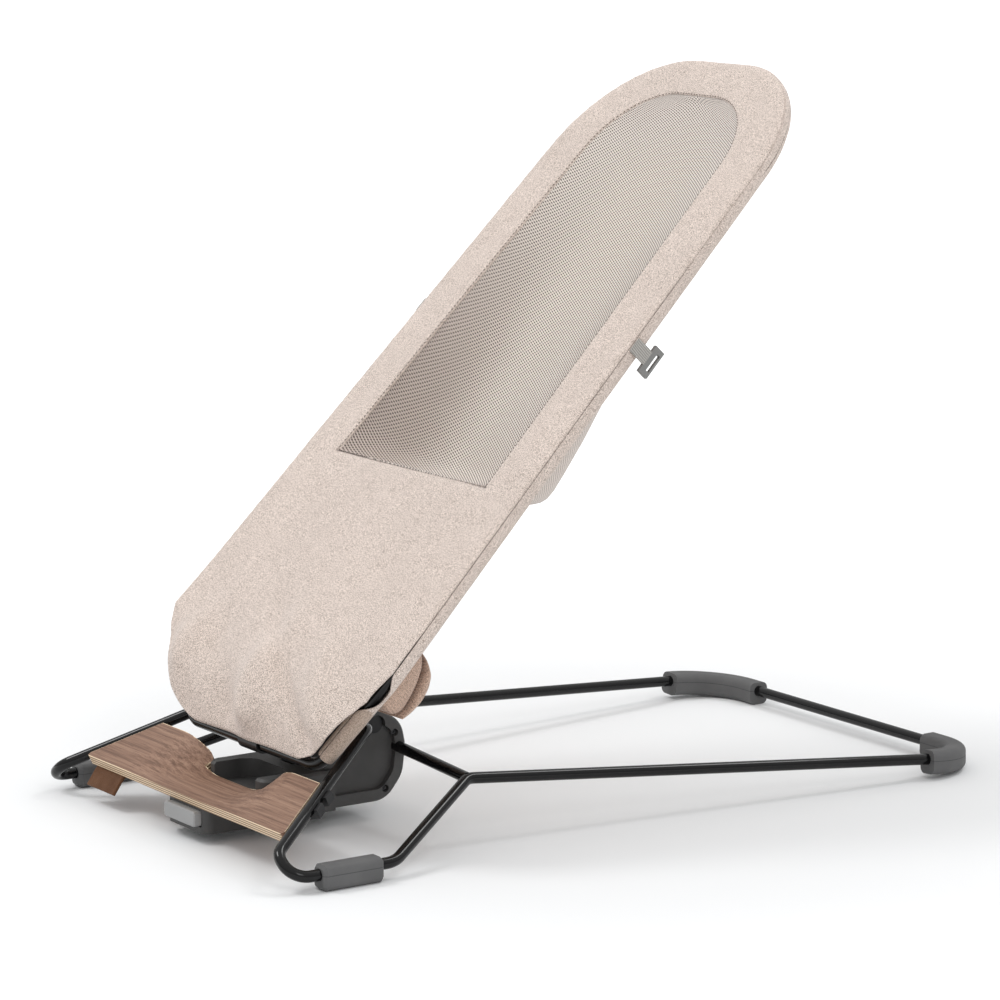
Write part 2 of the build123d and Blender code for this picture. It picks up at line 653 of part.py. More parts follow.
with BuildPart() as footplate:
    for distance, fraction, depth in (
        (0, plate_start, PLATE_FRONT_DIP),
        (PLATE_LENGTH, plate_end, PLATE_VALLEY_DEPTH),
    ):
        rows = plate_section(fraction, depth)
        with BuildSketch(plate_plane(distance)):
            with BuildLine():
                plate_edge(rows["top"])
                plate_edge(rows["under"])
                for sign in SIDES.values():
                    Line(
                        (sign * rows["top"][0].X, rows["top"][0].Y),
                        (sign * rows["under"][0].X, rows["under"][0].Y),
                    )
            make_face()
    loft(ruled=True)
    with BuildSketch(Plane.XY):
        with Locations((0, FRONT_Y + TRAY_FRONT_SETBACK + tray_length / 2)):
            Rectangle(2 * (TRAY_HALF_WIDTH + PLATE_NOTCH_GAP), tray_length + 2 * PLATE_NOTCH_GAP)
    extrude(amount=HOUSING_TOP, mode=Mode.SUBTRACT)
    across_sheet = Axis((0, 0, 0), plate_normal)
    fillet(edges().filter_by(across_sheet).sort_by(Axis.Y)[-2:], PLATE_REAR_CORNER)
    fillet(edges().filter_by(across_sheet).sort_by(Axis.Y)[:2], PLATE_FRONT_CORNER)
save(footplate, "footplate")

# Clips under the plate that cradle the leg tubes
plate_under = PLATE_ABOVE_TUBE - PLATE_THICKNESS
cradle_outer = TUBE_RADIUS + CLIP_WALL
for name, side in SIDES.items():
    for end, station in CLIP_STATIONS.items():
        along = plate_start + (plate_end - plate_start) * station
        run = mirrored(tube_run.normalized(), side)
        inward = plate_normal.cross(run) * side
        clip_start = mirrored(curl_high + tube_run * along, side) - run * CLIP_WIDTH / 2
        with BuildPart() as clip:
            with BuildSketch(Plane(origin=clip_start, x_dir=inward, z_dir=run)):
                with Locations((CLIP_REACH / 2, side * (plate_under - cradle_outer) / 2)):
                    Rectangle(CLIP_REACH, cradle_outer + plate_under)
                with Locations((-cradle_outer / 2, -side * cradle_outer / 2)):
                    Rectangle(cradle_outer, cradle_outer)
                Circle(TUBE_RADIUS + FIT, mode=Mode.SUBTRACT)
            extrude(amount=CLIP_WIDTH)
        save(clip, f"plate_clip_{end}_{name}")

# Leather pull tab under the left end of the foot edge
strap_line = plate_under - STRAP_THICKNESS / 2
strap_side = Plane(
    origin=Vector(-STRAP_INNER_X, plate_front_point.Y, plate_front_point.Z),
    x_dir=plate_up,
    z_dir=(1, 0, 0),
)
with BuildPart() as pull_strap:
    with BuildSketch(strap_side):
        with BuildLine():
            FilletPolyline(
                (STRAP_SEAT, strap_line),
                (0, strap_line),
                (-STRAP_OVERHANG, strap_line - STRAP_DROOP),
                radius=STRAP_BEND,
            )
        trace(line_width=STRAP_THICKNESS)
    extrude(amount=-STRAP_WIDTH)
save(pull_strap, "pull_strap")

# Seat plane: x across, s up the seat, n out of its front face
seat_up = Vector(0, cos(radians(SEAT_ANGLE)), sin(radians(SEAT_ANGLE)))
seat_normal = Vector(0, -seat_up.Z, seat_up.Y)
seat_origin = at(0, SEAT_REFERENCE_SETBACK, SEAT_REFERENCE_HEIGHT)
seat_plane = Plane(origin=seat_origin, x_dir=(1, 0, 0), z_dir=seat_normal)
seat_side = Plane(origin=seat_origin, x_dir=seat_up, z_dir=(1, 0, 0))
tube_inset = FABRIC + SEAT_TUBE_RADIUS + FIT
taper = (SEAT_LOWER_HALF_WIDTH - SEAT_HEAD_HALF_WIDTH) / (SEAT_HEAD_END - SEAT_LOWER_END)


def seat_point(x, s, n):
    return seat_origin + Vector(x, 0, 0) + seat_up * s + seat_normal * n


def seat_half_width(s):
    return SEAT_LOWER_HALF_WIDTH - taper * (s - SEAT_LOWER_END)


# Seat tube: a crossbar under the seat, two rails and the loop round the head
tube_depth = -tube_inset
rail_foot = at(CROSSBAR_HALF_WIDTH, CROSSBAR_SETBACK, CROSSBAR_HEIGHT)
rail_top = seat_point(seat_half_width(SEAT_LOWER_END) - tube_inset, SEAT_LOWER_END, tube_depth)
head_corner = seat_point(seat_half_width(SEAT_HEAD_END) - tube_inset, SEAT_HEAD_END - tube_inset, tube_depth)
rail_joint = toward(rail_foot, rail_top, CROSSBAR_UPTURN)
rail_line = (rail_top - rail_foot).normalized()
head_bend = SEAT_HEAD_RADIUS - tube_inset
seat_crossbar = bent_tube(
    [mirrored(rail_joint, -1), mirrored(rail_foot, -1), rail_foot, rail_joint],
    CROSSBAR_RADIUS,
    SEAT_TUBE_DIAMETER,
)
loop_right = [rail_joint, rail_top, head_corner]
loop_left = [mirrored(point, -1) for point in reversed(loop_right)]
seat_frame = bent_tube(
    loop_right + loop_left,
    [RAIL_BEND_RADIUS, head_bend, head_bend, RAIL_BEND_RADIUS],
    SEAT_TUBE_DIAMETER,
)
sleeve_radii = (SEAT_TUBE_RADIUS + SLEEVE_WALL_LOWER, SEAT_TUBE_RADIUS + SLEEVE_WALL_UPPER)
upright = (Align.CENTER, Align.CENTER, Align.MIN)
for name, side in SIDES.items():
    joint = mirrored(rail_joint, side)
    run = mirrored(rail_line, side)
    half = run * SPIGOT_LENGTH / 2
    spigot = straight_tube(joint - half, joint + half, SPIGOT_DIAMETER)
    for tube in (seat_crossbar, seat_frame):
        with tube:
            add(spigot.part, mode=Mode.SUBTRACT)
    save(spigot, f"spigot_seat_{name}")

    sleeve_foot = mirrored(toward(rail_foot, rail_top, SLEEVE_START), side)
    with BuildPart(Plane(origin=sleeve_foot, z_dir=run)) as rail_sleeve:
        Cone(*sleeve_radii, SLEEVE_LENGTH, align=upright)
        Cylinder(SEAT_TUBE_RADIUS + FIT, SLEEVE_LENGTH, align=upright, mode=Mode.SUBTRACT)
    save(rail_sleeve, f"rail_sleeve_{name}")
save(seat_crossbar, "seat_crossbar")
save(seat_frame, "seat_frame")

# Seat carrier: an arm from the pivot to the crossbar, with a clamp cap and a bush
clamp = at(0, CROSSBAR_SETBACK, CROSSBAR_HEIGHT)
clamp_side = (clamp.Y, clamp.Z)
arm = (pivot - clamp).normalized()
key_plane = Plane(origin=pivot, x_dir=(0, 1, 0), z_dir=(1, 0, 0))
key_angle = radians((SECTOR_START + SECTOR_END) / 2)
key_centre = Vector(cos(key_angle), sin(key_angle)) * (KNUCKLE_DIAMETER / 2)
carrier_halves = {"seat_carrier": Keep.TOP, "carrier_cap": Keep.BOTTOM}
for name, keep in carrier_halves.items():
    with BuildPart() as carrier:
        with BuildSketch(Plane.YZ):
            with Locations(pivot_side):
                Circle(KNUCKLE_DIAMETER / 2)
            with Locations(clamp_side):
                Circle(CLAMP_DIAMETER / 2)
            make_hull()
            with Locations(pivot_side):
                Circle(BUSH_DIAMETER / 2 + FIT, mode=Mode.SUBTRACT)
            with Locations(clamp_side):
                Circle(SEAT_TUBE_RADIUS + FIT, mode=Mode.SUBTRACT)
        extrude(amount=CARRIER_HALF_WIDTH, both=True)
        with BuildSketch(key_plane):
            Circle(SECTOR_RADIUS + FIT)
            Circle(KNUCKLE_DIAMETER / 2, mode=Mode.SUBTRACT)
            with Locations((key_centre.X, key_centre.Y)):
                Rectangle(2 * (KEY_DEPTH + FIT), KEY_WIDTH + 2 * FIT, rotation=degrees(key_angle))
        extrude(amount=SECTOR_THICKNESS / 2 + FIT, both=True, mode=Mode.SUBTRACT)
        split(bisect_by=Plane(origin=clamp, z_dir=arm), keep=keep)
    save(carrier, name)

with BuildPart() as carrier_bush:
    with BuildSketch(Plane.YZ):
        with Locations(pivot_side):
            Circle(BUSH_DIAMETER / 2)
            Circle(AXLE_DIAMETER / 2 + RUNNING_CLEARANCE, mode=Mode.SUBTRACT)
    extrude(amount=CARRIER_HALF_WIDTH, both=True)
save(carrier_bush, "carrier_bush")

# Toothed sector keyed into the knuckle of the carrier
sector_inner = KNUCKLE_DIAMETER / 2 + FIT
with BuildPart() as lock_sector:
    with BuildSketch(key_plane):
        with BuildLine():
            inner_arc = CenterArc((0, 0), sector_inner, SECTOR_START, SECTOR_END - SECTOR_START)
            outer_arc = CenterArc((0, 0), SECTOR_RADIUS, SECTOR_START, SECTOR_END - SECTOR_START)
            Line(inner_arc @ 0, outer_arc @ 0)
            Line(inner_arc @ 1, outer_arc @ 1)
        make_face()
        for angle in NOTCH_ANGLES:
            middle = Vector(SECTOR_RADIUS, 0).rotate(Axis.Z, angle)
            with Locations((middle.X, middle.Y)):
                Rectangle(2 * NOTCH_DEPTH, NOTCH_WIDTH, rotation=angle, mode=Mode.SUBTRACT)
        with Locations((key_centre.X, key_centre.Y)):
            Rectangle(2 * KEY_DEPTH, KEY_WIDTH, rotation=degrees(key_angle))
    extrude(amount=SECTOR_THICKNESS / 2, both=True)
save(lock_sector, "lock_sector")


mesh_end = SEAT_HEAD_END - MESH_HEAD_BORDER
mesh_low_half = seat_half_width(MESH_START) - MESH_SIDE_BORDER
mesh_high_half = seat_half_width(mesh_end) - MESH_SIDE_BORDER


# Fabric cover: a stretched face, side walls round the tube and a lip behind it
def seat_outline(inset, lower):
    """Tapered outline with two rounded head corners, drawn on the seat plane."""
    low = seat_half_width(lower) - inset
    high = seat_half_width(SEAT_HEAD_END) - inset
    top = SEAT_HEAD_END - inset
    with BuildLine() as outline:
        FilletPolyline(
            (low, lower),
            (high, top),
            (-high, top),
            (-low, lower),
            radius=SEAT_HEAD_RADIUS - inset,
        )
        Line((-low, lower), (low, lower))
    make_face(outline.edges())


def mesh_outline(grow, mode=Mode.ADD):
    """Outline of the netting opening, drawn on the seat plane."""
    low = mesh_low_half + grow
    high = mesh_high_half + grow
    with BuildLine() as outline:
        FilletPolyline(
            (low, MESH_START - grow),
            (high, mesh_end + grow),
            (-high, mesh_end + grow),
            (-low, MESH_START - grow),
            radius=SEAT_HEAD_RADIUS - MESH_HEAD_BORDER + grow,
        )
        Line((-low, MESH_START - grow), (low, MESH_START - grow))
    make_face(outline.edges(), mode=mode)


cover_depth = 2 * tube_inset
below_cover = SEAT_LOWER_END - cover_depth
curl_start = seat_point(0, FLAP_CURL_START, -FABRIC / 2)
with BuildPart() as flap:
    with BuildSketch(Plane.YZ):
        with BuildLine() as flap_path:
            panel_end = seat_point(0, SEAT_LOWER_END, -FABRIC / 2)
            Line((panel_end.Y, panel_end.Z), (curl_start.Y, curl_start.Z))
            curl = JernArc(
                (curl_start.Y, curl_start.Z),
                (-seat_up.Y, -seat_up.Z),
                FLAP_CURL_RADIUS,
                FLAP_CURL_TURN,
            )
            PolarLine(curl @ 1, FLAP_HEM_RUN, direction=curl % 1)
        trace(line_width=FABRIC)
    extrude(amount=SEAT_LOWER_HALF_WIDTH, both=True)
    hem = (flap_path.line @ 1).Y - FABRIC
    with BuildSketch(Plane.XZ):
        top = seat_origin.Z
        with BuildLine():
            FilletPolyline(
                (SEAT_LOWER_HALF_WIDTH, top),
                (SEAT_LOWER_HALF_WIDTH, panel_end.Z),
                (FLAP_HEM_HALF_WIDTH, hem),
                (-FLAP_HEM_HALF_WIDTH, hem),
                (-SEAT_LOWER_HALF_WIDTH, panel_end.Z),
                (-SEAT_LOWER_HALF_WIDTH, top),
                radius=[FLAP_SHOULDER, FLAP_CORNER, FLAP_CORNER, FLAP_SHOULDER],
            )
            Line((SEAT_LOWER_HALF_WIDTH, top), (-SEAT_LOWER_HALF_WIDTH, top))
        make_face()
    extrude(amount=BASE_LENGTH, both=True, mode=Mode.INTERSECT)

with BuildPart() as seat_cover:
    with BuildSketch(seat_plane):
        seat_outline(0, SEAT_LOWER_END)
    extrude(amount=-cover_depth)
    with BuildSketch(seat_plane.offset(-FABRIC)):
        seat_outline(FABRIC, below_cover)
    extrude(amount=2 * FABRIC - cover_depth, mode=Mode.SUBTRACT)
    with BuildSketch(seat_plane.offset(-cover_depth)):
        seat_outline(BACK_LIP, below_cover)
        with Locations((0, (below_cover + LIP_START) / 2)):
            Rectangle(2 * (SEAT_LOWER_HALF_WIDTH - FABRIC), LIP_START - below_cover)
    extrude(amount=FABRIC, mode=Mode.SUBTRACT)
    with BuildSketch(seat_plane):
        mesh_outline(0)
    extrude(amount=-FABRIC, mode=Mode.SUBTRACT)
    add(flap.part)
save(seat_cover, "seat_cover")

# Netting pouch: deepest just above the lower panel, running out to flat at the head
pouch_middle = MESH_START + (mesh_end - MESH_START) * POUCH_MIDDLE_SHARE
with BuildPart() as mesh_hammock:
    with BuildSketch(seat_plane.offset(-FABRIC)):
        mesh_outline(0)
    extrude(amount=-POUCH_DEPTH, taper=POUCH_SIDE_SLOPE)
    with BuildSketch(seat_side):
        with BuildLine():
            back_curve = ThreePointArc(
                (mesh_end, -FABRIC - POUCH_HEAD_DEPTH),
                (pouch_middle, -FABRIC - POUCH_MIDDLE_DEPTH),
                (MESH_START + POUCH_BOTTOM_RUN, -FABRIC - POUCH_DEPTH),
            )
            Polyline(
                back_curve @ 1,
                (MESH_START, -FABRIC - POUCH_FRONT_DEPTH),
                (MESH_START, -FABRIC),
                (mesh_end, -FABRIC),
                back_curve @ 0,
            )
        make_face()
    extrude(amount=mesh_low_half, both=True, mode=Mode.INTERSECT)
    mouth = faces().sort_by(lambda face: (face.center() - seat_origin).dot(seat_normal))[-1]
    offset(amount=-MESH_THICKNESS, openings=mouth)
    with BuildSketch(seat_plane.offset(-FABRIC)):
        mesh_outline(SEAM)
        mesh_outline(-MESH_THICKNESS, Mode.SUBTRACT)
    extrude(amount=-FABRIC)
save(mesh_hammock, "mesh_hammock")

# Loose lower panel, folded back and forth and stowed behind the seat
stowed_lines = []
for layer in range(STOWED_LAYERS):
    depth = -FABRIC - STOWED_LAYER / 2 - layer * STOWED_LAYER_PITCH
    ends = [(STOWED_TOP, depth), (STOWED_TOP - STOWED_FOLD_LENGTH, depth)]
    stowed_lines += ends if layer % 2 == 0 else reversed(ends)
with BuildPart() as stowed_flap:
    with BuildSketch(seat_side):
        with BuildLine():
            FilletPolyline(*stowed_lines, radius=STOWED_LAYER_PITCH / 2 - FIT)
        trace(line_width=STOWED_LAYER)
    extrude(amount=SEAT_LOWER_HALF_WIDTH - STOWED_SIDE_MARGIN, both=True)
save(stowed_flap, "stowed_flap")

# Side tabs: a webbing stub swinging on the cover's edge, with a slotted plastic end
root_radius = WEBBING_THICKNESS / 2
edge_length = hypot(1, taper)
droop = radians(WEBBING_DROOP)
for name, side in SIDES.items():
    outward = Vector(side, 0, 0) / edge_length + seat_up * (taper / edge_length)
    edge_line = outward.cross(seat_normal)
    root = seat_point(side * seat_half_width(TAB_STATION), TAB_STATION, -TAB_DEPTH)
    root = root + outward * (root_radius + SWING_CLEARANCE)
    tab_plane = Plane(origin=root - edge_line * WEBBING_WIDTH / 2, x_dir=outward, z_dir=edge_line)
    tip = Vector(cos(droop), -sin(droop)) * WEBBING_LENGTH
    with BuildPart() as webbing_tab:
        with BuildSketch(tab_plane):
            with Locations((tip.X / 2, tip.Y / 2)):
                SlotCenterToCenter(WEBBING_LENGTH, WEBBING_THICKNESS, rotation=-WEBBING_DROOP)
        extrude(amount=WEBBING_WIDTH)
    save(webbing_tab, f"webbing_tab_{name}")

    plate_middle = tip * (1 + (SLOT_PLATE_DEPTH / 2 - SLOT_WIDTH) / WEBBING_LENGTH)
    end_plane = tab_plane.offset((WEBBING_WIDTH - SLOT_PLATE_LENGTH) / 2)
    with BuildPart() as slot_plate:
        with BuildSketch(end_plane):
            with Locations((plate_middle.X, plate_middle.Y)):
                Rectangle(SLOT_PLATE_DEPTH, SLOT_PLATE_THICKNESS, rotation=-WEBBING_DROOP)
        extrude(amount=SLOT_PLATE_LENGTH)
        with BuildSketch(tab_plane.offset(-FIT)):
            with Locations((tip.X / 2, tip.Y / 2)):
                SlotCenterToCenter(WEBBING_LENGTH, WEBBING_THICKNESS + 2 * FIT, rotation=-WEBBING_DROOP)
        extrude(amount=WEBBING_WIDTH + 2 * FIT, mode=Mode.SUBTRACT)
        slot_reach = WEBBING_LENGTH + (SLOT_PLATE_DEPTH - SLOT_WIDTH) / 2
        slot_middle = Vector(cos(droop), -sin(droop)) * slot_reach
        with BuildSketch(tab_plane.offset((WEBBING_WIDTH - SLOT_LENGTH) / 2)):
            with Locations((slot_middle.X, slot_middle.Y)):
                Rectangle(SLOT_WIDTH, 2 * SLOT_PLATE_THICKNESS, rotation=-WEBBING_DROOP)
        extrude(amount=SLOT_LENGTH, mode=Mode.SUBTRACT)
    save(slot_plate, f"slot_plate_{name}")
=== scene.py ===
import json
import math

import bmesh
import bpy
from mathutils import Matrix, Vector, noise


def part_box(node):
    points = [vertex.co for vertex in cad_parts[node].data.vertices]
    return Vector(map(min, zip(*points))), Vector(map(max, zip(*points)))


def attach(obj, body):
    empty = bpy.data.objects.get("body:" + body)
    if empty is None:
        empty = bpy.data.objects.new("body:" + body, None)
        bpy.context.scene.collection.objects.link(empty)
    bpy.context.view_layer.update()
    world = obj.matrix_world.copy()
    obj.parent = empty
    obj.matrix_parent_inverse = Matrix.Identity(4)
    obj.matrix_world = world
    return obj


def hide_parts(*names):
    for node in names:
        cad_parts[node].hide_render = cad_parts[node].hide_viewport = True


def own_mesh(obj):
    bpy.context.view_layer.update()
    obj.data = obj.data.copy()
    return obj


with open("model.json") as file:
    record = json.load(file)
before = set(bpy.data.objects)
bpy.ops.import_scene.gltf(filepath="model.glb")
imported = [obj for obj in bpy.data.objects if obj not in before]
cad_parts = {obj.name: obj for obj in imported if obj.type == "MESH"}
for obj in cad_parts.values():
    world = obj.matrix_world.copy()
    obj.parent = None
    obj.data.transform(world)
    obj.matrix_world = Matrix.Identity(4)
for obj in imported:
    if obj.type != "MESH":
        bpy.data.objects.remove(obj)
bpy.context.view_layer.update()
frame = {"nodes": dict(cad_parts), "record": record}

nodes = frame["nodes"]
scene = bpy.context.scene

# Seat frame of reference: x across, s up the seat, n out of its face, all in metres
SEAT_ANGLE = math.radians(45.1)
SEAT_ORIGIN = Vector((0, -0.2105, 0.1683))
SEAT_UP = Vector((0, math.cos(SEAT_ANGLE), math.sin(SEAT_ANGLE)))
SEAT_NORMAL = Vector((0, -math.sin(SEAT_ANGLE), math.cos(SEAT_ANGLE)))
LOWER_HALF, HEAD_HALF = 0.1615, 0.1355
LOWER_END, HEAD_END, HEAD_RADIUS = -0.029, 0.573, 0.107
MESH_LOW_HALF, MESH_HIGH_HALF = 0.1058, 0.0888
MESH_START, MESH_END, MESH_RADIUS = 0.142, 0.536, 0.070
TAPER = (LOWER_HALF - HEAD_HALF) / (HEAD_END - LOWER_END)
TUBE_INSET = 0.0071
TUBE_DEPTH = -0.0071
SEAM_DEPTH = -0.0026

# Foot plate: its rise to the rear, the middle of its front edge, and where its cut edges are
PLATE_RISE = math.atan2(0.062, 0.1287)
PLATE_UP = Vector((0, math.cos(PLATE_RISE), math.sin(PLATE_RISE)))
PLATE_NORMAL = Vector((0, -math.sin(PLATE_RISE), math.cos(PLATE_RISE)))
PLATE_FRONT = Vector((0, -0.3185, 0.03299))
PLATE_HALF, PLATE_NARROWING = 0.1518, -0.5612
PLATE_REAR = 0.0575
NOTCH_HALF, NOTCH_FRONT = 0.0452, -0.2727
PLY_PITCH = 0.0023

# Cloth thicknesses
COVER_CLOTH, BAND_CLOTH, POUCH_CLOTH, LINING_CLOTH = 0.0014, 0.0011, 0.0012, 0.0009
TAPE_CLOTH, HIDE_CLOTH = 0.0017, 0.0028


def seat(x, s, n):
    """A point of the seat, in the row frame."""
    return SEAT_ORIGIN + Vector((x, 0, 0)) + SEAT_UP * s + SEAT_NORMAL * n


def half_width(s):
    """Half the seat's width at a station."""
    return LOWER_HALF - TAPER * (s - LOWER_END)


# Mesh helpers
def piece(name, points, faces, body, material):
    """A mesh piece in the row frame that rides on a body."""
    mesh = bpy.data.meshes.new(name)
    mesh.from_pydata([tuple(p) for p in points], [], faces)
    mesh.update()
    obj = bpy.data.objects.new(name, mesh)
    scene.collection.objects.link(obj)
    mesh.materials.append(material)
    for polygon in mesh.polygons:
        polygon.use_smooth = True
    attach(obj, body)
    return obj


def grid_faces(rows, columns, first=0, closed=False):
    """Quads over a grid of points stored row by row."""
    faces = []
    for i in range(rows - 1):
        for j in range(columns if closed else columns - 1):
            k = (j + 1) % columns
            a = first + i * columns
            b = a + columns
            faces.append((a + j, a + k, b + k, b + j))
    return faces


def weld(obj, distance=0.00005):
    """Joins points that coincide and turns all faces one way."""
    bm = bmesh.new()
    bm.from_mesh(obj.data)
    bmesh.ops.remove_doubles(bm, verts=bm.verts, dist=distance)
    bmesh.ops.recalc_face_normals(bm, faces=bm.faces)
    bm.to_mesh(obj.data)
    bm.free()


def crisp(obj, degrees):
    """Keeps edges sharper than an angle as hard lines in the shading."""
    obj.data.set_sharp_from_angle(angle=math.radians(degrees))


def thicken(obj, thickness, offset=0.0, levels=0):
    """Gives a sheet its cloth thickness, with optional subdivision."""
    if levels:
        subdivision = obj.modifiers.new("smooth", "SUBSURF")
        subdivision.levels = subdivision.render_levels = levels
    solid = obj.modifiers.new("cloth", "SOLIDIFY")
    solid.thickness = thickness
    solid.offset = offset


def uv_from(obj, name, values):
    """Stores a flat coordinate, in metres, for every corner of a mesh."""
    layer = obj.data.uv_layers.new(name=name)
    for loop in obj.data.loops:
        layer.data[loop.index].uv = values[loop.vertex_index]


def lerp(a, b, t):
    """Goes straight from a at 0 to b at 1."""
    return a + (b - a) * t


def ease(a, b, value):
    """Goes smoothly from 0 at a to 1 at b."""
    t = max(0, min(1, (value - a) / (b - a)))
    return t * t * (3 - 2 * t)


def arc_points(corner, before, after, radius, count):
    """Points along the fillet that rounds a corner between two directions."""
    turn = math.acos(max(-1, min(1, before.dot(after))))
    tangent = radius * math.tan(turn / 2)
    start = corner - before * tangent
    side = (after - before * before.dot(after)).normalized()
    centre = start + side * radius
    points = []
    for i in range(count):
        a = turn * i / (count - 1)
        points.append(centre - side * radius * math.cos(a) + before * radius * math.sin(a))
    return points


SIDE_STEPS, ARC_STEPS, TOP_STEPS = 44, 26, 10


def head_loop(half_low, half_high, low, top, radius):
    """Stations up the right side, round the head and down the left side of an outline."""
    foot, shoulder = Vector((half_low, low)), Vector((half_high, top))
    up_side = (shoulder - foot).normalized()
    right_arc = arc_points(shoulder, up_side, Vector((-1, 0)), radius, ARC_STEPS)
    right = [lerp(foot, right_arc[0], i / SIDE_STEPS) for i in range(SIDE_STEPS)] + right_arc
    left = [Vector((-p.x, p.y)) for p in reversed(right)]
    top_run = [lerp(right[-1], left[0], i / TOP_STEPS) for i in range(1, TOP_STEPS)]
    return right + top_run + left


# Node materials
class Shader:
    """A small wrapper that builds one node material."""

    def __init__(self, name):
        self.material = bpy.data.materials.new(name)
        self.material.use_nodes = True
        self.tree = self.material.node_tree
        self.surface = self.tree.nodes["Principled BSDF"]

    def node(self, kind, settings=None, **inputs):
        made = self.tree.nodes.new(kind)
        for key, value in (settings or {}).items():
            setattr(made, key, value)
        for key, value in inputs.items():
            self.put(made, key, value)
        return made

    def put(self, node, key, value):
        """Links or sets an input, by its name or as i and its number."""
        numbered = key[0] == "i" and key[1:].isdigit()
        socket = node.inputs[int(key[1:])] if numbered else node.inputs[key]
        if isinstance(value, bpy.types.NodeSocket):
            self.tree.links.new(value, socket)
        else:
            socket.default_value = value

    def set(self, **inputs):
        for key, value in inputs.items():
            self.put(self.surface, key.replace("_", " "), value)

    def math(self, operation, a, b=0.0, c=0.0):
        return self.node("ShaderNodeMath", {"operation": operation}, i0=a, i1=b, i2=c).outputs[0]

    def mix(self, factor, a, b, blend="MIX"):
        made = self.node("ShaderNodeMix", {"data_type": "RGBA", "blend_type": blend})
        self.put(made, "i0", factor)
        self.put(made, "i6", a)
        self.put(made, "i7", b)
        return made.outputs[2]

    def ramp(self, value, stops):
        made = self.node("ShaderNodeValToRGB", Fac=value)
        elements = made.color_ramp.elements
        while len(elements) < len(stops):
            elements.new(0.5)
        for element, (position, colour) in zip(elements, stops):
            element.position = position
            element.color = colour if len(colour) == 4 else (*colour, 1)
        return made.outputs[0]

    def noise(self, vector, scale, detail=2.0, roughness=0.5):
        made = self.node("ShaderNodeTexNoise", Scale=scale, Detail=detail, Roughness=roughness)
        self.put(made, "Vector", vector)
        return made.outputs["Fac"]

    def bump(self, height, strength, distance):
        made = self.node("ShaderNodeBump", Strength=strength, Distance=distance, Height=height)
        return made.outputs["Normal"]

    def coords(self):
        return self.node("ShaderNodeTexCoord").outputs["Object"]

    def uv(self, name):
        return self.node("ShaderNodeUVMap", {"uv_map": name}).outputs[0]

    def axes(self, vector):
        return self.node("ShaderNodeSeparateXYZ", i0=vector).outputs

    def reduce(self, operation, a, b=None):
        """A vector operation that gives one value."""
        inputs = {"i0": a} if b is None else {"i0": a, "i1": b}
        return self.node("ShaderNodeVectorMath", {"operation": operation}, **inputs).outputs["Value"]

    def stretch(self, vector, scale):
        made = self.node("ShaderNodeMapping", {"vector_type": "POINT"}, Scale=scale)
        self.put(made, "Vector", vector)
        return made.outputs[0]


def grey(value):
    return (value, value, value, 1)


def plain(
    name, colour, roughness, grain=1800.0, depth=0.00004, variation=0.12, gloss=0.5, metallic=0.0
):
    """Moulded, painted or plated finish with fine grain and slight unevenness."""
    s = Shader(name)
    where = s.coords()
    cloud = s.noise(where, 38.0, 3.0)
    fine = s.noise(where, grain, 2.0)
    dark = tuple(c * (1 - variation) for c in colour)
    light = tuple(min(1, c * (1 + variation)) for c in colour)
    smooth, rough = roughness * 0.88, min(1, roughness * 1.12)
    uneven = s.node("ShaderNodeMapRange", Value=fine, i1=0.3, i2=0.7, i3=smooth, i4=rough)
    s.set(
        Base_Color=s.ramp(cloud, [(0.3, dark), (0.7, light)]),
        Roughness=uneven.outputs[0],
        Normal=s.bump(fine, 0.25, depth),
        Metallic=metallic,
        Specular_IOR_Level=gloss,
    )
    return s.material


PARTING_HALF = 0.00032


def rubber(name, level, slope, reach):
    """Matt moulded rubber with the fine parting line of its mould, at a level that slopes from reach."""
    s = Shader(name)
    where = s.coords()
    y, z = s.axes(where)[1:3]
    parting = s.math("MULTIPLY_ADD", s.math("SUBTRACT", reach, y), slope, level)
    line = s.math("LESS_THAN", s.math("ABSOLUTE", s.math("SUBTRACT", z, parting)), PARTING_HALF)
    fine = s.noise(where, 2200.0, 2.0)
    cloud = s.noise(where, 38.0, 3.0)
    tone = s.ramp(cloud, [(0.3, (0.110, 0.110, 0.111)), (0.7, (0.136, 0.136, 0.137))])
    s.set(
        Base_Color=s.mix(s.math("MULTIPLY", line, 0.5), tone, grey(0.03)),
        Roughness=s.ramp(fine, [(0.3, grey(0.66)), (0.7, grey(0.78))]),
        Specular_IOR_Level=0.35,
        Normal=s.bump(s.math("SUBTRACT", s.math("MULTIPLY", fine, 0.2), line), 0.4, 0.0003),
    )
    return s.material


def fleck_fabric(name, light, dark, rib=0.0):
    """Flecked jersey: yarn-sized specks of two tones over a fine knit."""
    s = Shader(name)
    where = s.coords()
    speck = s.noise(where, 1700.0, 1.0, 0.6)
    blot = s.noise(where, 90.0, 3.0)
    broad = s.noise(where, 14.0, 2.0)
    tone = s.math("ADD", s.math("MULTIPLY", speck, 0.95), s.math("MULTIPLY", blot, 0.05))
    pale = tuple(min(1, c * 1.33) for c in light)
    yarn = s.ramp(tone, [(0.40, dark), (0.475, light), (0.525, light), (0.59, pale)])
    shade = s.ramp(broad, [(0.3, (0.95, 0.95, 0.95)), (0.7, (1, 1, 1))])
    s.set(
        Base_Color=s.mix(1.0, yarn, shade, "MULTIPLY"),
        Roughness=0.92,
        Sheen_Weight=0.25,
        Sheen_Roughness=0.5,
        Normal=s.bump(speck, 0.45, 0.0005),
    )
    if rib:
        up_seat = s.reduce("DOT_PRODUCT", where, tuple(SEAT_UP))
        wave = s.math("SINE", s.math("MULTIPLY", up_seat, 2 * math.pi / rib))
        s.put(s.surface, "Normal", s.bump(s.math("MULTIPLY_ADD", wave, 0.7, speck), 0.6, 0.0007))
    return s.material


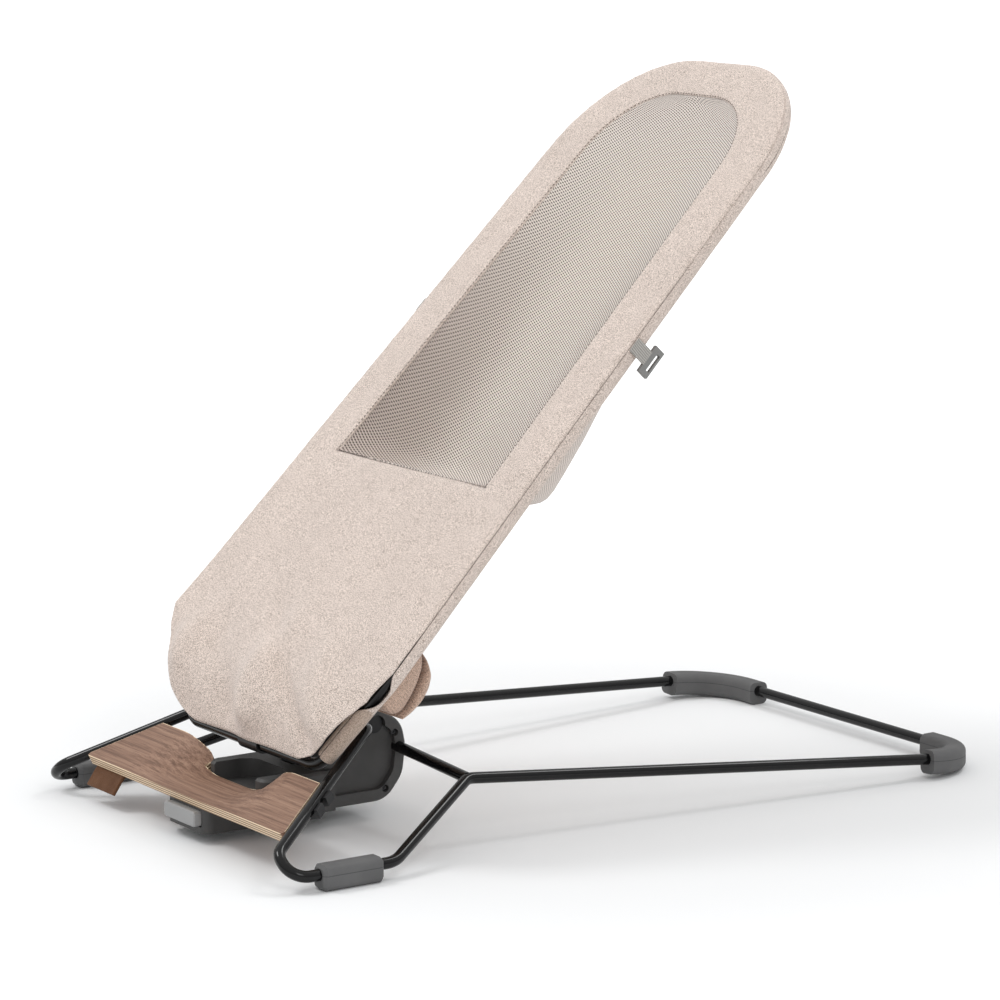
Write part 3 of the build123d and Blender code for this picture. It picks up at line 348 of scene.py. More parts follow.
def netting(name, pitch, rise, skew, depth, with_painted_shade):
    """Spacer netting: a skewed grid of small holes in pale yarn, with the holes painted dark as shade seen
    through them, and where asked painted shade towards the sides and low end of the pouch.
    """
    s = Shader(name)
    flat = s.axes(s.uv("flat"))
    u = s.math("MULTIPLY", s.math("MULTIPLY_ADD", flat[1], skew, flat[0]), 2 * math.pi / pitch)
    v = s.math("MULTIPLY", flat[1], 2 * math.pi / rise)
    product = s.math("MULTIPLY", s.math("COSINE", u), s.math("COSINE", v))
    hole = s.ramp(product, [(0.02, grey(0)), (0.16, grey(0.15 * depth)), (0.36, grey(depth))])
    fine = s.noise(s.coords(), 2600.0, 2.0)
    strand = s.math("MULTIPLY", s.math("SINE", u), s.math("SINE", v))
    sheen = s.math("MULTIPLY_ADD", strand, 0.35, fine)
    shades = [(0.2, (0.62, 0.54, 0.485)), (0.5, (0.82, 0.735, 0.675)), (0.8, (0.95, 0.87, 0.82))]
    yarn = s.ramp(sheen, shades)
    # The holes are real; their dark colour is painted shade, standing for the shaded inside seen through
    # them.
    colour = s.mix(hole, yarn, (0.10, 0.075, 0.06, 1))
    # Painted shade: the yarn is darkened towards the sides and the low end of the pouch, by a mask stored
    # with the lining.
    if with_painted_shade:
        painted_shade = s.axes(s.uv("painted_shade"))[0]
        colour = s.mix(painted_shade, colour, s.mix(1.0, colour, (0.70, 0.66, 0.64, 1), "MULTIPLY"))
    s.set(
        Base_Color=colour,
        Roughness=0.88,
        Sheen_Weight=0.2,
        Normal=s.bump(s.math("SUBTRACT", 1.0, hole), 0.55, 0.0008),
    )
    return s.material


def walnut_ply(name):
    """Walnut face veneer with grain along X, and pale laminations on every cut edge."""
    s = Shader(name)
    where = s.coords()
    x, y, z = s.axes(where)[:3]
    along_y = s.math("SUBTRACT", y, PLATE_FRONT.y)
    along_z = s.math("SUBTRACT", z, PLATE_FRONT.z)
    level, steep = math.cos(PLATE_RISE), math.sin(PLATE_RISE)
    up_plate = s.math("ADD", s.math("MULTIPLY", along_y, level), s.math("MULTIPLY", along_z, steep))
    through = s.math("SUBTRACT", s.math("MULTIPLY", along_z, level), s.math("MULTIPLY", along_y, steep))
    half = s.math("MULTIPLY_ADD", up_plate, PLATE_NARROWING, PLATE_HALF)
    spread = s.math("ABSOLUTE", x)
    front_edge = s.math("LESS_THAN", up_plate, 0.0005)
    rear_edge = s.math("GREATER_THAN", up_plate, PLATE_REAR)
    side_edge = s.math("GREATER_THAN", spread, s.math("SUBTRACT", half, 0.0006))
    notch = s.math(
        "MULTIPLY", s.math("LESS_THAN", spread, NOTCH_HALF), s.math("GREATER_THAN", y, NOTCH_FRONT)
    )
    ends = s.math("MAXIMUM", front_edge, rear_edge)
    edge = s.math("MAXIMUM", ends, s.math("MAXIMUM", side_edge, notch))
    grain = s.noise(s.stretch(where, (7.0, 330.0, 330.0)), 1.0, 6.0, 0.62)
    pores = s.noise(s.stretch(where, (55.0, 1500.0, 1500.0)), 1.0, 2.0)
    figure = s.noise(s.stretch(where, (2.2, 26.0, 26.0)), 1.0, 3.0, 0.6)
    veneer = [(0.36, (0.125, 0.058, 0.033)), (0.5, (0.275, 0.152, 0.098)), (0.64, (0.41, 0.25, 0.17))]
    streaks = s.ramp(figure, [(0.35, (0.17, 0.085, 0.05)), (0.65, (0.38, 0.228, 0.152))])
    face = s.mix(0.28, s.ramp(grain, veneer), streaks)
    open_pores = s.math("MULTIPLY", s.math("LESS_THAN", pores, 0.40), 0.45)
    face = s.mix(open_pores, face, (0.12, 0.06, 0.04, 1))
    layers = s.math("SINE", s.math("MULTIPLY", through, 2 * math.pi / PLY_PITCH))
    laminations = [(0.1, (0.27, 0.16, 0.09)), (0.35, (0.84, 0.64, 0.43)), (0.9, (0.95, 0.77, 0.54))]
    end_grain = s.ramp(grain, [(0.3, (0.5, 0.35, 0.23)), (0.7, (0.9, 0.71, 0.5))])
    ply = s.mix(0.15, s.ramp(layers, laminations), end_grain)
    ridges = s.math("MULTIPLY", layers, s.math("MULTIPLY", edge, 0.3))
    s.set(
        Base_Color=s.mix(edge, face, ply),
        Roughness=s.ramp(pores, [(0.3, grey(0.62)), (0.7, grey(0.48))]),
        Normal=s.bump(s.math("ADD", pores, ridges), 0.3, 0.0002),
    )
    return s.material


def leather(name):
    """Plain hide with a fine grain of creases."""
    s = Shader(name)
    where = s.coords()
    cells = s.node("ShaderNodeTexVoronoi", {"feature": "DISTANCE_TO_EDGE"}, Scale=900.0)
    s.put(cells, "Vector", where)
    crease = s.math("MINIMUM", s.math("MULTIPLY", cells.outputs[0], 6.0), 1.0)
    cloud = s.noise(where, 60.0, 4.0)
    s.set(
        Base_Color=s.ramp(cloud, [(0.3, (0.105, 0.044, 0.019)), (0.7, (0.16, 0.075, 0.037))]),
        Roughness=s.ramp(cloud, [(0.3, grey(0.62)), (0.7, grey(0.48))]),
        Specular_IOR_Level=0.2,
        Normal=s.bump(crease, 0.4, 0.0003),
    )
    return s.material


def woven_tape(name, light, dark):
    """Flat tape with a diagonal weave."""
    s = Shader(name)
    bands = {"wave_type": "BANDS", "bands_direction": "DIAGONAL"}
    weave = s.node("ShaderNodeTexWave", bands, Scale=260.0, Distortion=1.5, Vector=s.coords())
    value = weave.outputs["Fac"]
    s.set(
        Base_Color=s.ramp(value, [(0.2, dark), (0.8, light)]),
        Roughness=0.85,
        Normal=s.bump(value, 0.5, 0.0004),
    )
    return s.material


tube_black = plain("tube_black", (0.0035, 0.0035, 0.0038), 0.12, 900.0, 0.000004, 0.1, 0.32)
front_rubber = rubber("foot_rubber", 0.0120, 0.0, 0.0)
rear_rubber = rubber("foot_rubber_rear", 0.0120, 0.081, 0.327)
hub_plastic = plain("hub_plastic", (0.064, 0.063, 0.062), 0.5, 2600.0, 0.0001, 0.12, 0.4)
button_plastic = plain("button_plastic", (0.31, 0.31, 0.31), 0.42, 2000.0, 0.00003, 0.05)
slot_plastic = plain("slot_plastic", (0.225, 0.222, 0.215), 0.5)
inner_plastic = plain("inner_plastic", (0.6, 0.6, 0.57), 0.5)
steel = plain("steel", (0.55, 0.55, 0.56), 0.3, 1500.0, 0.00002, 0.06, 0.5, 1.0)
carrier_metal = plain("carrier_metal", (0.010, 0.010, 0.011), 0.36, 1500.0, 0.00003, 0.1, 0.4)
plywood = walnut_ply("walnut_ply")
cover_fabric = fleck_fabric("cover_fabric", (0.725, 0.622, 0.559), (0.30, 0.225, 0.18))
# A darker copy of the cover cloth for the rail sleeves: painted shade, as the sleeves are the same cloth as
# the cover.
sleeve_fabric = fleck_fabric("sleeve_fabric", (0.48, 0.375, 0.305), (0.27, 0.195, 0.15))
stowed_fabric = fleck_fabric("stowed_fabric", (0.63, 0.45, 0.355), (0.34, 0.22, 0.16), 0.0021)
net_fabric = netting("net_fabric", 0.0043, 0.0029, 0.54, 1.0, True)
back_net = netting("back_net", 0.0026, 0.00325, 0.0, 0.4, False)
# Dark thread: real stitches round the netting, and along the cover's edge also painted shade in the seam's
# crease.
thread_and_seam_shade = plain("seam_thread_and_shade", (0.115, 0.085, 0.068), 0.9)
hide = leather("hide")
tape = woven_tape("grey_tape", (0.50, 0.48, 0.45), (0.28, 0.265, 0.245))

finishes = {
    "tube_black": tube_black,
    "foot_rubber": front_rubber,
    "hub_plastic": hub_plastic,
    "button_plastic": button_plastic,
    "plywood": plywood,
    "leather": hide,
    "cover_fabric": cover_fabric,
    "netting": back_net,
    "stowed_fabric": stowed_fabric,
    "webbing": tape,
    "slot_plastic": slot_plastic,
    "inner_plastic": inner_plastic,
    "steel": steel,
    "carrier_metal": carrier_metal,
}
# Families of nodes whose finish differs from that of their slot
variants = {"rear_foot": rear_rubber, "plate_clip": carrier_metal}
for entry in frame["record"]["subparts"]:
    node = nodes[entry["node"]]
    family = "_".join(entry["node"].split("_")[:2])
    node.data.materials.clear()
    node.data.materials.append(variants.get(family, finishes[entry["material_slot"]]))

# Seat cover, front face: a band round the netting, the lower panel and the curled flap
outer = head_loop(half_width(MESH_START), HEAD_HALF, MESH_START, HEAD_END, HEAD_RADIUS)
inner = head_loop(MESH_LOW_HALF, MESH_HIGH_HALF, MESH_START, MESH_END, MESH_RADIUS)
# How the cloth rounds off at its outer seam and at the netting: distance in from the edge, and drop there
EDGE_INSETS = (0.0, 0.0008, 0.0024, 0.0050, 0.0090)
EDGE_DROP = (0.0024, 0.0013, 0.0005, 0.0001, 0.0)
RIM_INSETS = (0.0040, 0.0018, 0.0006, 0.0)
RIM_DROP = (0.0, 0.0003, 0.0011, 0.0024)
BAND_STEPS = 7
GATHER_HEIGHT, GATHER_PITCH, GATHER_REACH = 0.00032, 0.0105, 0.006
WAVE_HEIGHT = 0.0011


def pucker(s, inset, x):
    """Small gathers along the seam, and slow waves in the face of the cloth."""
    phase = s * 2 * math.pi / GATHER_PITCH + 2.5 * noise.noise((s * 40, x * 9, 1))
    gather = GATHER_HEIGHT * math.exp(-inset / GATHER_REACH) * math.sin(phase)
    slow = WAVE_HEIGHT * noise.noise((x * 13, s * 11, 4.2))
    return gather * min(1, inset / 0.0015) + slow * min(1, inset / 0.02)


def band_row(edge, rim):
    """One line of points across the band, from its outer seam to the netting."""
    across = rim - edge
    width = across.length
    across = across / width
    row = []
    for inset, drop in zip(EDGE_INSETS, EDGE_DROP):
        p = edge + across * inset
        row.append(seat(p.x, p.y, -drop + pucker(p.y, inset, p.x)))
    first, last = EDGE_INSETS[-1], width - RIM_INSETS[0]
    for i in range(1, BAND_STEPS):
        inset = lerp(first, last, i / BAND_STEPS)
        p = edge + across * inset
        row.append(seat(p.x, p.y, pucker(p.y, min(inset, width - inset), p.x)))
    for inset, drop in zip(RIM_INSETS, RIM_DROP):
        p = rim - across * inset
        row.append(seat(p.x, p.y, -drop))
    return row


points = []
for edge, rim in zip(outer, inner):
    points += band_row(edge, rim)
columns = len(band_row(outer[0], inner[0]))
faces = grid_faces(len(outer), columns)

# Lower panel and flap, row by row from the netting down to the hem
FLAP_START, FLAP_RADIUS, FLAP_RUN = -0.045, 0.068, 0.018
FLAP_TURN = math.pi / 2 - SEAT_ANGLE
HEM_HALF, HEM_RADIUS = 0.098, 0.060
flap_bend = FLAP_RADIUS * FLAP_TURN
flap_length = flap_bend + FLAP_RUN


def flap_point(distance):
    """Place on the flap's curve, a distance down from where it leaves the seat plane."""
    start = seat(0, FLAP_START, 0)
    if distance <= flap_bend:
        a = SEAT_ANGLE + distance / FLAP_RADIUS
        centre = start + SEAT_NORMAL * -FLAP_RADIUS
        return centre + Vector((0, -math.sin(a), math.cos(a))) * FLAP_RADIUS
    end = start - SEAT_NORMAL * FLAP_RADIUS + Vector((0, -1, 0)) * FLAP_RADIUS
    return end + Vector((0, 0, -1)) * (distance - flap_bend)


hem_height = flap_point(flap_length).z
shoulder_height = seat(0, LOWER_END, 0).z


def flap_half(z):
    """Half width of the flap at a height: slanted sides rounding into the hem."""
    slope = (LOWER_HALF - HEM_HALF) / (shoulder_height - hem_height)
    straight = HEM_HALF + slope * (z - hem_height)
    lean = math.atan(1 / slope)
    centre_x = HEM_HALF - HEM_RADIUS * math.tan(lean / 2)
    centre_z = hem_height + HEM_RADIUS
    touch_z = centre_z - HEM_RADIUS * math.cos(lean)
    if z >= touch_z:
        return straight
    return centre_x + math.sqrt(max(0, HEM_RADIUS**2 - (centre_z - z) ** 2))


CENTRE_STEPS, PANEL_STEPS, FLAP_STEPS = 40, 46, 30
# Folds in the loose end: place across, lean, width and height
FOLDS = (
    (0.004, 0.05, 0.020, 0.0115), (0.038, -1.15, 0.014, -0.0075), (-0.066, -0.8, 0.026, -0.0082),
    (-0.118, 0.3, 0.018, 0.0065), (0.088, -0.6, 0.018, 0.0060),
)
# Sag of the flap's free edge, as (s, sag)
EDGE_SAG = (
    (-0.029, 0.0), (-0.045, 0.0032), (-0.055, 0.0062), (-0.065, 0.0053), (-0.075, 0.0030), (-0.095, 0.0),
)
SAG_REACH = 0.016


def slack(x, s):
    """Soft folds that run down the loose end of the panel and die out at the hem."""
    fade = ease(0.03, -0.075, s) * (1 - 0.75 * ease(-0.092, -0.116, s))
    height = 0
    for middle, lean, width, depth in FOLDS:
        across = (x - middle - lean * (s + 0.06)) / width
        height += depth * math.exp(-across * across)
    return fade * (height - 0.0012 + 0.0016 * noise.noise((x * 30, s * 22, 7.7)))


def edge_sag(s):
    """How far the free edge of the flap falls back towards the tube."""
    for (a, sag_a), (b, sag_b) in zip(EDGE_SAG, EDGE_SAG[1:]):
        if a >= s >= b:
            return lerp(sag_a, sag_b, (a - s) / (a - b))
    return 0.0


def panel_row(half, place, s, loose):
    """A line of points across the lower panel, seam to seam."""
    rim = min(MESH_LOW_HALF, half - 0.03)
    right = []
    for inset, drop in zip(EDGE_INSETS, EDGE_DROP):
        right.append((half - inset, -drop * (1 - loose), inset))
    first, last = EDGE_INSETS[-1], half - rim - RIM_INSETS[0]
    for i in range(1, BAND_STEPS):
        inset = lerp(first, last, i / BAND_STEPS)
        right.append((half - inset, 0, inset))
    for inset in RIM_INSETS:
        right.append((rim + inset, 0, half - rim - inset))
    middle = [(lerp(rim, -rim, i / CENTRE_STEPS), 0, 0.1) for i in range(1, CENTRE_STEPS)]
    left = [(-x, n, inset) for x, n, inset in reversed(right)]
    row = []
    for x, n, inset in right + middle + left:
        sag = edge_sag(s) * math.exp(-((inset / SAG_REACH) ** 2))
        row.append(place(x, n - sag + pucker(s, inset, x) + slack(x, s) * min(1, inset / 0.02)))
    return row


panel = []
for i in range(PANEL_STEPS + 1):
    s = lerp(MESH_START, FLAP_START, i / PANEL_STEPS)
    rim_drop = RIM_DROP[-1] * math.exp(-(MESH_START - s) / 0.0012)
    z = seat(0, s, 0).z
    half = half_width(s) if s >= LOWER_END else min(half_width(s), flap_half(z))
    panel.append(
        panel_row(
            half,
            lambda x, n, s=s, d=rim_drop: seat(x, s, n - (d if abs(x) < MESH_LOW_HALF + 0.004 else 0)),
            s,
            max(0, min(1, (0.02 - s) / 0.06)),
        )
    )
for i in range(1, FLAP_STEPS + 1):
    distance = flap_length * i / FLAP_STEPS
    centre = flap_point(distance)
    bend = SEAT_ANGLE + min(distance / FLAP_RADIUS, FLAP_TURN)
    normal = Vector((0, -math.sin(bend), math.cos(bend)))
    panel.append(
        panel_row(
            max(0.02, flap_half(max(centre.z, hem_height + 0.0004))),
            lambda x, n, c=centre, d=normal: c + Vector((x, 0, 0)) + d * n,
            FLAP_START - distance,
            1.0,
        )
    )
faces += grid_faces(len(panel), len(panel[0]), len(points))
for row in panel:
    points += row
cover_front = piece("cover_front", points, faces, "seat", cover_fabric)
weld(cover_front, 0.0003)
crisp(cover_front, 38)
thicken(cover_front, COVER_CLOTH, -1.0)
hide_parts("seat_cover")

# Side band and rail sleeves: one strip round the tube, from the foot of one rail over the head to the other
RAIL_FOOT = Vector((0.095, -0.2535, 0.067))
RAIL_CORNER = seat(half_width(LOWER_END) - TUBE_INSET, LOWER_END, TUBE_DEPTH)
rail_run = (RAIL_CORNER - RAIL_FOOT).normalized()
side_run = (seat(HEAD_HALF, HEAD_END, 0) - seat(LOWER_HALF, LOWER_END, 0)).normalized()
RAIL_BEND, RAIL_STEPS, BEND_STEPS = 0.030, 34, 15
SLEEVE_INSET = 0.010
bend_arc = arc_points(RAIL_CORNER, rail_run, side_run, RAIL_BEND, BEND_STEPS)
sleeve_foot = RAIL_FOOT + rail_run * SLEEVE_INSET
right_rail = [lerp(sleeve_foot, bend_arc[0], i / RAIL_STEPS) for i in range(RAIL_STEPS)] + bend_arc[:-1]
bend_end = (bend_arc[-1] - RAIL_CORNER).length
low_s = LOWER_END + bend_end * math.cos(math.atan(TAPER))
tube_loop = head_loop(
    half_width(low_s) - TUBE_INSET,
    HEAD_HALF - TUBE_INSET,
    low_s,
    HEAD_END - TUBE_INSET,
    HEAD_RADIUS - TUBE_INSET,
)
over_head = [seat(p.x, p.y, TUBE_DEPTH) for p in tube_loop]
left_rail = [Vector((-p.x, p.y, p.z)) for p in reversed(right_rail)]
tube_path = right_rail + over_head + left_rail
# Section of the band round the tube's axis, from its front edge to its back edge, in degrees and metres
WRAP_ANGLES = (32, 19, -3, -24, -43, -62, -93, -130)
WRAP_RADII = (0.0084, 0.0079, 0.0075, 0.00756, 0.0078, 0.00755, 0.0072, 0.0092)
WRAP_STEPS = 28
# At the bend the front edge swings back, and below it the band closes into a sleeve
OPENING_SWING, SLEEVE_SWING, SLEEVE_BACK = 62, 92, -290
SLEEVE_START = -0.026
SLEEVE_HIGH, SLEEVE_LOW = 0.0074, 0.0067
RUCK_HEIGHT = 0.00028


def above_bend(p):
    """Distance up the seat's side from the corner of the rail, on either side of the seat."""
    return (Vector((abs(p.x), p.y, p.z)) - RAIL_CORNER).dot(side_run)


def wrap_radius(angle):
    """Distance of the band from the tube's axis: nearly square in front, flat behind."""
    for a, b, ra, rb in zip(WRAP_ANGLES, WRAP_ANGLES[1:], WRAP_RADII, WRAP_RADII[1:]):
        if angle >= b:
            return lerp(ra, rb, max(0, min(1, (a - angle) / (a - b))))
    return WRAP_RADII[-1]


points = []
for i, centre in enumerate(tube_path):
    along = (tube_path[min(i + 1, len(tube_path) - 1)] - tube_path[max(i - 1, 0)]).normalized()
    front = (SEAT_NORMAL - along * along.dot(SEAT_NORMAL)).normalized()
    out = along.cross(front)
    above = above_bend(centre)
    closing = ease(-0.003, SLEEVE_START, above)
    opening = OPENING_SWING * ease(0.004, -0.009, above)
    first = WRAP_ANGLES[0] - opening + SLEEVE_SWING * ease(-0.014, -0.028, above)
    last = lerp(WRAP_ANGLES[-1], SLEEVE_BACK, closing)
    end = min(i, len(tube_path) - 1 - i)
    ring = lerp(SLEEVE_HIGH, SLEEVE_LOW, ease(0.0, -0.08, above)) - 0.0005 * max(0, 1 - end / 2)
    for j in range(WRAP_STEPS):
        angle = lerp(first, last, j / (WRAP_STEPS - 1))
        radius = lerp(wrap_radius(min(WRAP_ANGLES[0], angle)), ring, closing)
        a = math.radians(angle)
        ruck = noise.noise((centre.x * 70 + math.cos(a), centre.y * 70 + math.sin(a), centre.z * 70))
        radius += RUCK_HEIGHT * ruck * min(1, end / 3)
        points.append(centre + (out * math.cos(a) + front * math.sin(a)) * radius)
cover_band = piece("cover_band", points, grid_faces(len(tube_path), WRAP_STEPS), "seat", cover_fabric)
cover_band.data.materials.append(sleeve_fabric)
# Faces below the bend take the darker copy of the cover cloth, as painted shade on the sleeves.
for polygon in cover_band.data.polygons:
    if above_bend(polygon.center) < SLEEVE_START:
        polygon.material_index = 1
weld(cover_band)
thicken(cover_band, BAND_CLOTH, 0.0, 1)
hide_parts("rail_sleeve_left", "rail_sleeve_right")

# Sewn seams: a dark thread along the edge of the cover, partly the real seam and partly painted shade in
# the crease between face and band, and stitches round the netting
STITCH_SHAPE = ((0.0, 0.35), (0.15, 0.9), (0.5, 1.0), (0.85, 0.9), (1.0, 0.35))
THREAD_SIDES = 6
SEAM_START, SEAM_ROLL = -0.020, 0.0060
STITCH_OUT, STITCH_DEPTH = 0.0011, -0.0006


def walk(route, step):
    """Points a fixed step apart along a route."""
    spots, left = [route[0]], step
    for a, b in zip(route, route[1:]):
        length = (b - a).length
        gone = left
        while gone <= length:
            spots.append(lerp(a, b, gone / length))
            gone += step
        left = gone - length
    return spots


def stitched(name, route, radius, step, share):
    """Thread along a route, in stitches that each fill a share of the step."""
    points, faces = [], []
    spots = walk(route, step)
    for a, b in zip(spots, spots[1:]):
        along = (b - a).normalized()
        across = along.cross(SEAT_NORMAL).normalized()
        out = across.cross(along)
        first = len(points)
        for reach, swell in STITCH_SHAPE:
            middle = lerp(a, b, 0.5 + (reach - 0.5) * share)
            for k in range(THREAD_SIDES):
                angle = 2 * math.pi * k / THREAD_SIDES
                points.append(middle + (across * math.cos(angle) + out * math.sin(angle)) * radius * swell)
        faces += grid_faces(len(STITCH_SHAPE), THREAD_SIDES, first, True)
    made = piece(name, points, faces, "seat", thread_and_seam_shade)


seam_edge = []
for p in head_loop(half_width(SEAM_START), HEAD_HALF, SEAM_START, HEAD_END, HEAD_RADIUS):
    rolled = ease(0.36, 0.50, p.y)
    away = Vector((p.x, max(0, p.y - HEAD_END + HEAD_RADIUS))).normalized() * (0.0004 * rolled)
    seam_edge.append(seat(p.x + away.x, p.y + away.y, SEAM_DEPTH - SEAM_ROLL * rolled))
# An unbroken dark thread: partly the real seam, partly painted shade in the crease where face and band
# meet.
stitched("edge_seam_and_shade", seam_edge, 0.00033, 0.0030, 1.04)
stitch_line = head_loop(
    MESH_LOW_HALF + STITCH_OUT,
    MESH_HIGH_HALF + STITCH_OUT,
    MESH_START,
    MESH_END + STITCH_OUT,
    MESH_RADIUS + STITCH_OUT,
)
stitched("rim_stitches", [seat(p.x, p.y, STITCH_DEPTH) for p in stitch_line], 0.00036, 0.0036, 0.5)

# Netting pouch: rows across the seat, each with steep walls, a soft turn at their foot and a flat floor
# Depth of its floor along the middle line, as (s, depth)
POUCH_LINE = (
    (0.142, 0.000), (0.1424, 0.004), (0.1430, 0.012), (0.1440, 0.020), (0.1462, 0.0265), (0.150, 0.032),
    (0.156, 0.040), (0.164, 0.050), (0.170, 0.0555), (0.176, 0.0585), (0.184, 0.0592), (0.200, 0.0577),
    (0.230, 0.0535), (0.2996, 0.0415), (0.40, 0.026), (0.47, 0.0160), (0.52, 0.0085), (0.532, 0.005),
    (0.536, 0.0),
)
WALL_SLOPE = math.tan(math.radians(6))
NET_TUCK = 0.0012
TURN_RADIUS = 0.013
WALL_STEPS, TURN_STEPS, FLOOR_STEPS = 10, 10, 16
HEAD_ROWS, ROW_STEP, HEAD_ROW_STEP = 0.45, 0.005, 0.002
SWAY_HEIGHT, SWAY_DEPTH = 0.0009, 0.02


def sway(x, s, d, seed):
    """Slow waves in the netting, where it hangs clear of the rim."""
    return SWAY_HEIGHT * noise.noise((x * 24, s * 17, seed)) * min(1, d / SWAY_DEPTH)


def pouch_half(s):
    """Half width of the netting at a station, rounding in at the head."""
    slope = (MESH_LOW_HALF - MESH_HIGH_HALF) / (MESH_END - MESH_START)
    straight = MESH_LOW_HALF - slope * (s - MESH_START)
    centre_s = MESH_END - MESH_RADIUS
    if s <= centre_s:
        return straight
    centre_x = MESH_HIGH_HALF + slope * MESH_RADIUS - MESH_RADIUS * math.hypot(1, slope)
    return min(straight, centre_x + math.sqrt(max(0, MESH_RADIUS**2 - (s - centre_s) ** 2)))


def pouch_row(half, deep):
    """Half a row, from the middle line out to the rim, as (x, depth)."""
    radius = min(TURN_RADIUS, deep * 0.7, half * 0.3)
    foot = deep - radius
    row = []
    reach = half - WALL_SLOPE * foot - radius
    for i in range(FLOOR_STEPS):
        row.append((reach * i / FLOOR_STEPS, deep))
    for i in range(TURN_STEPS):
        a = math.pi / 2 * i / TURN_STEPS
        row.append((reach + radius * math.sin(a), foot + radius * math.cos(a)))
    for i in range(WALL_STEPS + 1):
        row.append((lerp(half - WALL_SLOPE * foot, half, i / WALL_STEPS), foot * (1 - i / WALL_STEPS)))
    return row


pouch_rows = []
for (a, deep_a), (b, deep_b) in zip(POUCH_LINE, POUCH_LINE[1:]):
    step = HEAD_ROW_STEP if a > HEAD_ROWS else ROW_STEP
    steps = max(1, round(math.hypot(b - a, deep_b - deep_a) / step))
    for i in range(steps):
        pouch_rows.append((lerp(a, b, i / steps), lerp(deep_a, deep_b, i / steps)))
pouch_rows.append(POUCH_LINE[-1])
points, flat_uv = [], []
for s, deep in pouch_rows:
    half_row = pouch_row(pouch_half(s) + NET_TUCK, max(deep, 0.0001))
    reach = [0.0]
    for (xa, da), (xb, db) in zip(half_row, half_row[1:]):
        reach.append(reach[-1] + math.hypot(xb - xa, db - da))
    right = [(x, d, reach[-1] - r) for (x, d), r in zip(half_row, reach)]
    for x, d, from_rim in [(-x, d, u) for x, d, u in right[:0:-1]] + right:
        points.append(seat(x, s, SEAM_DEPTH - d + sway(x, s, d, 9.1)))
        flat_uv.append((from_rim, s))
across = 2 * len(half_row) - 1
pouch = piece("net_pouch", points, grid_faces(len(pouch_rows), across), "seat", back_net)
uv_from(pouch, "flat", flat_uv)
weld(pouch, 0.0001)
thicken(pouch, POUCH_CLOTH)
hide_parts("mesh_hammock")

# Netting lining: the layer that is seen from the front, a shallow hammock inside the pouch
LINING_STEPS = 56
LINING_DEPTH, LINING_SHARE = -0.0018, 0.86
# The rows of holes are straight across at this station
REGULAR_STATION = 0.40
rows, painted_shades = [], []
for s, deep in pouch_rows:
    half = pouch_half(s) + NET_TUCK
    row = []
    for i in range(LINING_STEPS + 1):
        across = 2 * i / LINING_STEPS - 1
        share = math.sin(math.pi / 2 * abs(across))
        x = math.copysign(half * share, across)
        d = LINING_SHARE * max(0, deep - 0.002) * (1 - share**2.4) ** 0.85
        row.append(seat(x, s, LINING_DEPTH - d + sway(x, s, d, 5.3)))
        # Mask of painted shade: it rises towards the sides and towards the low end of the pouch.
        painted_shades.append((ease(0.02, 0.085, abs(x)) * ease(0.50, 0.19, s), 0.0))
    rows.append(row)
regular = sum(s < REGULAR_STATION for s, deep in pouch_rows)
centre = LINING_STEPS // 2
points, flat_uv = [], []
up_net = [[0.0] * (LINING_STEPS + 1)]
for before, row in zip(rows, rows[1:]):
    up_net.append([v + (b - a).length for v, a, b in zip(up_net[-1], before, row)])
for row, ups in zip(rows, up_net):
    side = [0.0]
    for a, b in zip(row, row[1:]):
        side.append(side[-1] + (b - a).length)
    points += row
    flat_uv += [(u - side[centre], v - first) for u, v, first in zip(side, ups, up_net[regular])]
lining = piece("net_lining", points, grid_faces(len(pouch_rows), LINING_STEPS + 1), "seat", net_fabric)
uv_from(lining, "flat", flat_uv)
uv_from(lining, "painted_shade", painted_shades)
weld(lining, 0.0001)
thicken(lining, LINING_CLOTH)

# Stowed panel: two soft lobes of folded cloth, swollen by a cloth simulation
SWELL_LIMIT, SWELL_PRESSURE, SWELL_FRAMES = 0.0007, 4.0, 20
RIPPLE_HEIGHT = 0.0012
LOBE_EDGE = 0.007
LOBE_STEPS, END_STEPS, MIDDLE_STEPS = 22, 9, 56
# Half width of each lobe, then its near and far faces from top to bottom as (s, n)
LOBES = (
    (
        0.1310,
        ((0.014, -0.0145), (-0.002, -0.0145), (-0.018, -0.0145), (-0.036, -0.0150)),
        ((0.014, -0.0180), (0.0079, -0.0277), (0.0068, -0.0346), (0.0011, -0.0407), (-0.0141, -0.0471),
         (-0.036, -0.0504), (-0.0425, -0.046), (-0.0440, -0.036), (-0.0425, -0.024), (-0.0390, -0.0165)),
    ),
    (
        0.1300,
        ((0.0085, -0.0300), (0.0078, -0.0375), (0.0018, -0.0440), (-0.014, -0.0500), (-0.033, -0.0530),
         (-0.0400, -0.0528)),
        ((0.0085, -0.0300), (0.0060, -0.0440), (0.0014, -0.0513), (-0.0074, -0.0572), (-0.0184, -0.0597),
         (-0.030, -0.0590), (-0.0405, -0.0550)),
    ),
)


def spaced(route, count):
    """Points evenly spread along a route."""
    marks = [0.0]
    for a, b in zip(route, route[1:]):
        marks.append(marks[-1] + (b - a).length)
    spots, k = [], 0
    for i in range(count):
        want = marks[-1] * i / (count - 1)
        while k < len(route) - 2 and marks[k + 1] < want:
            k += 1
        spots.append(lerp(route[k], route[k + 1], (want - marks[k]) / (marks[k + 1] - marks[k])))
    return spots


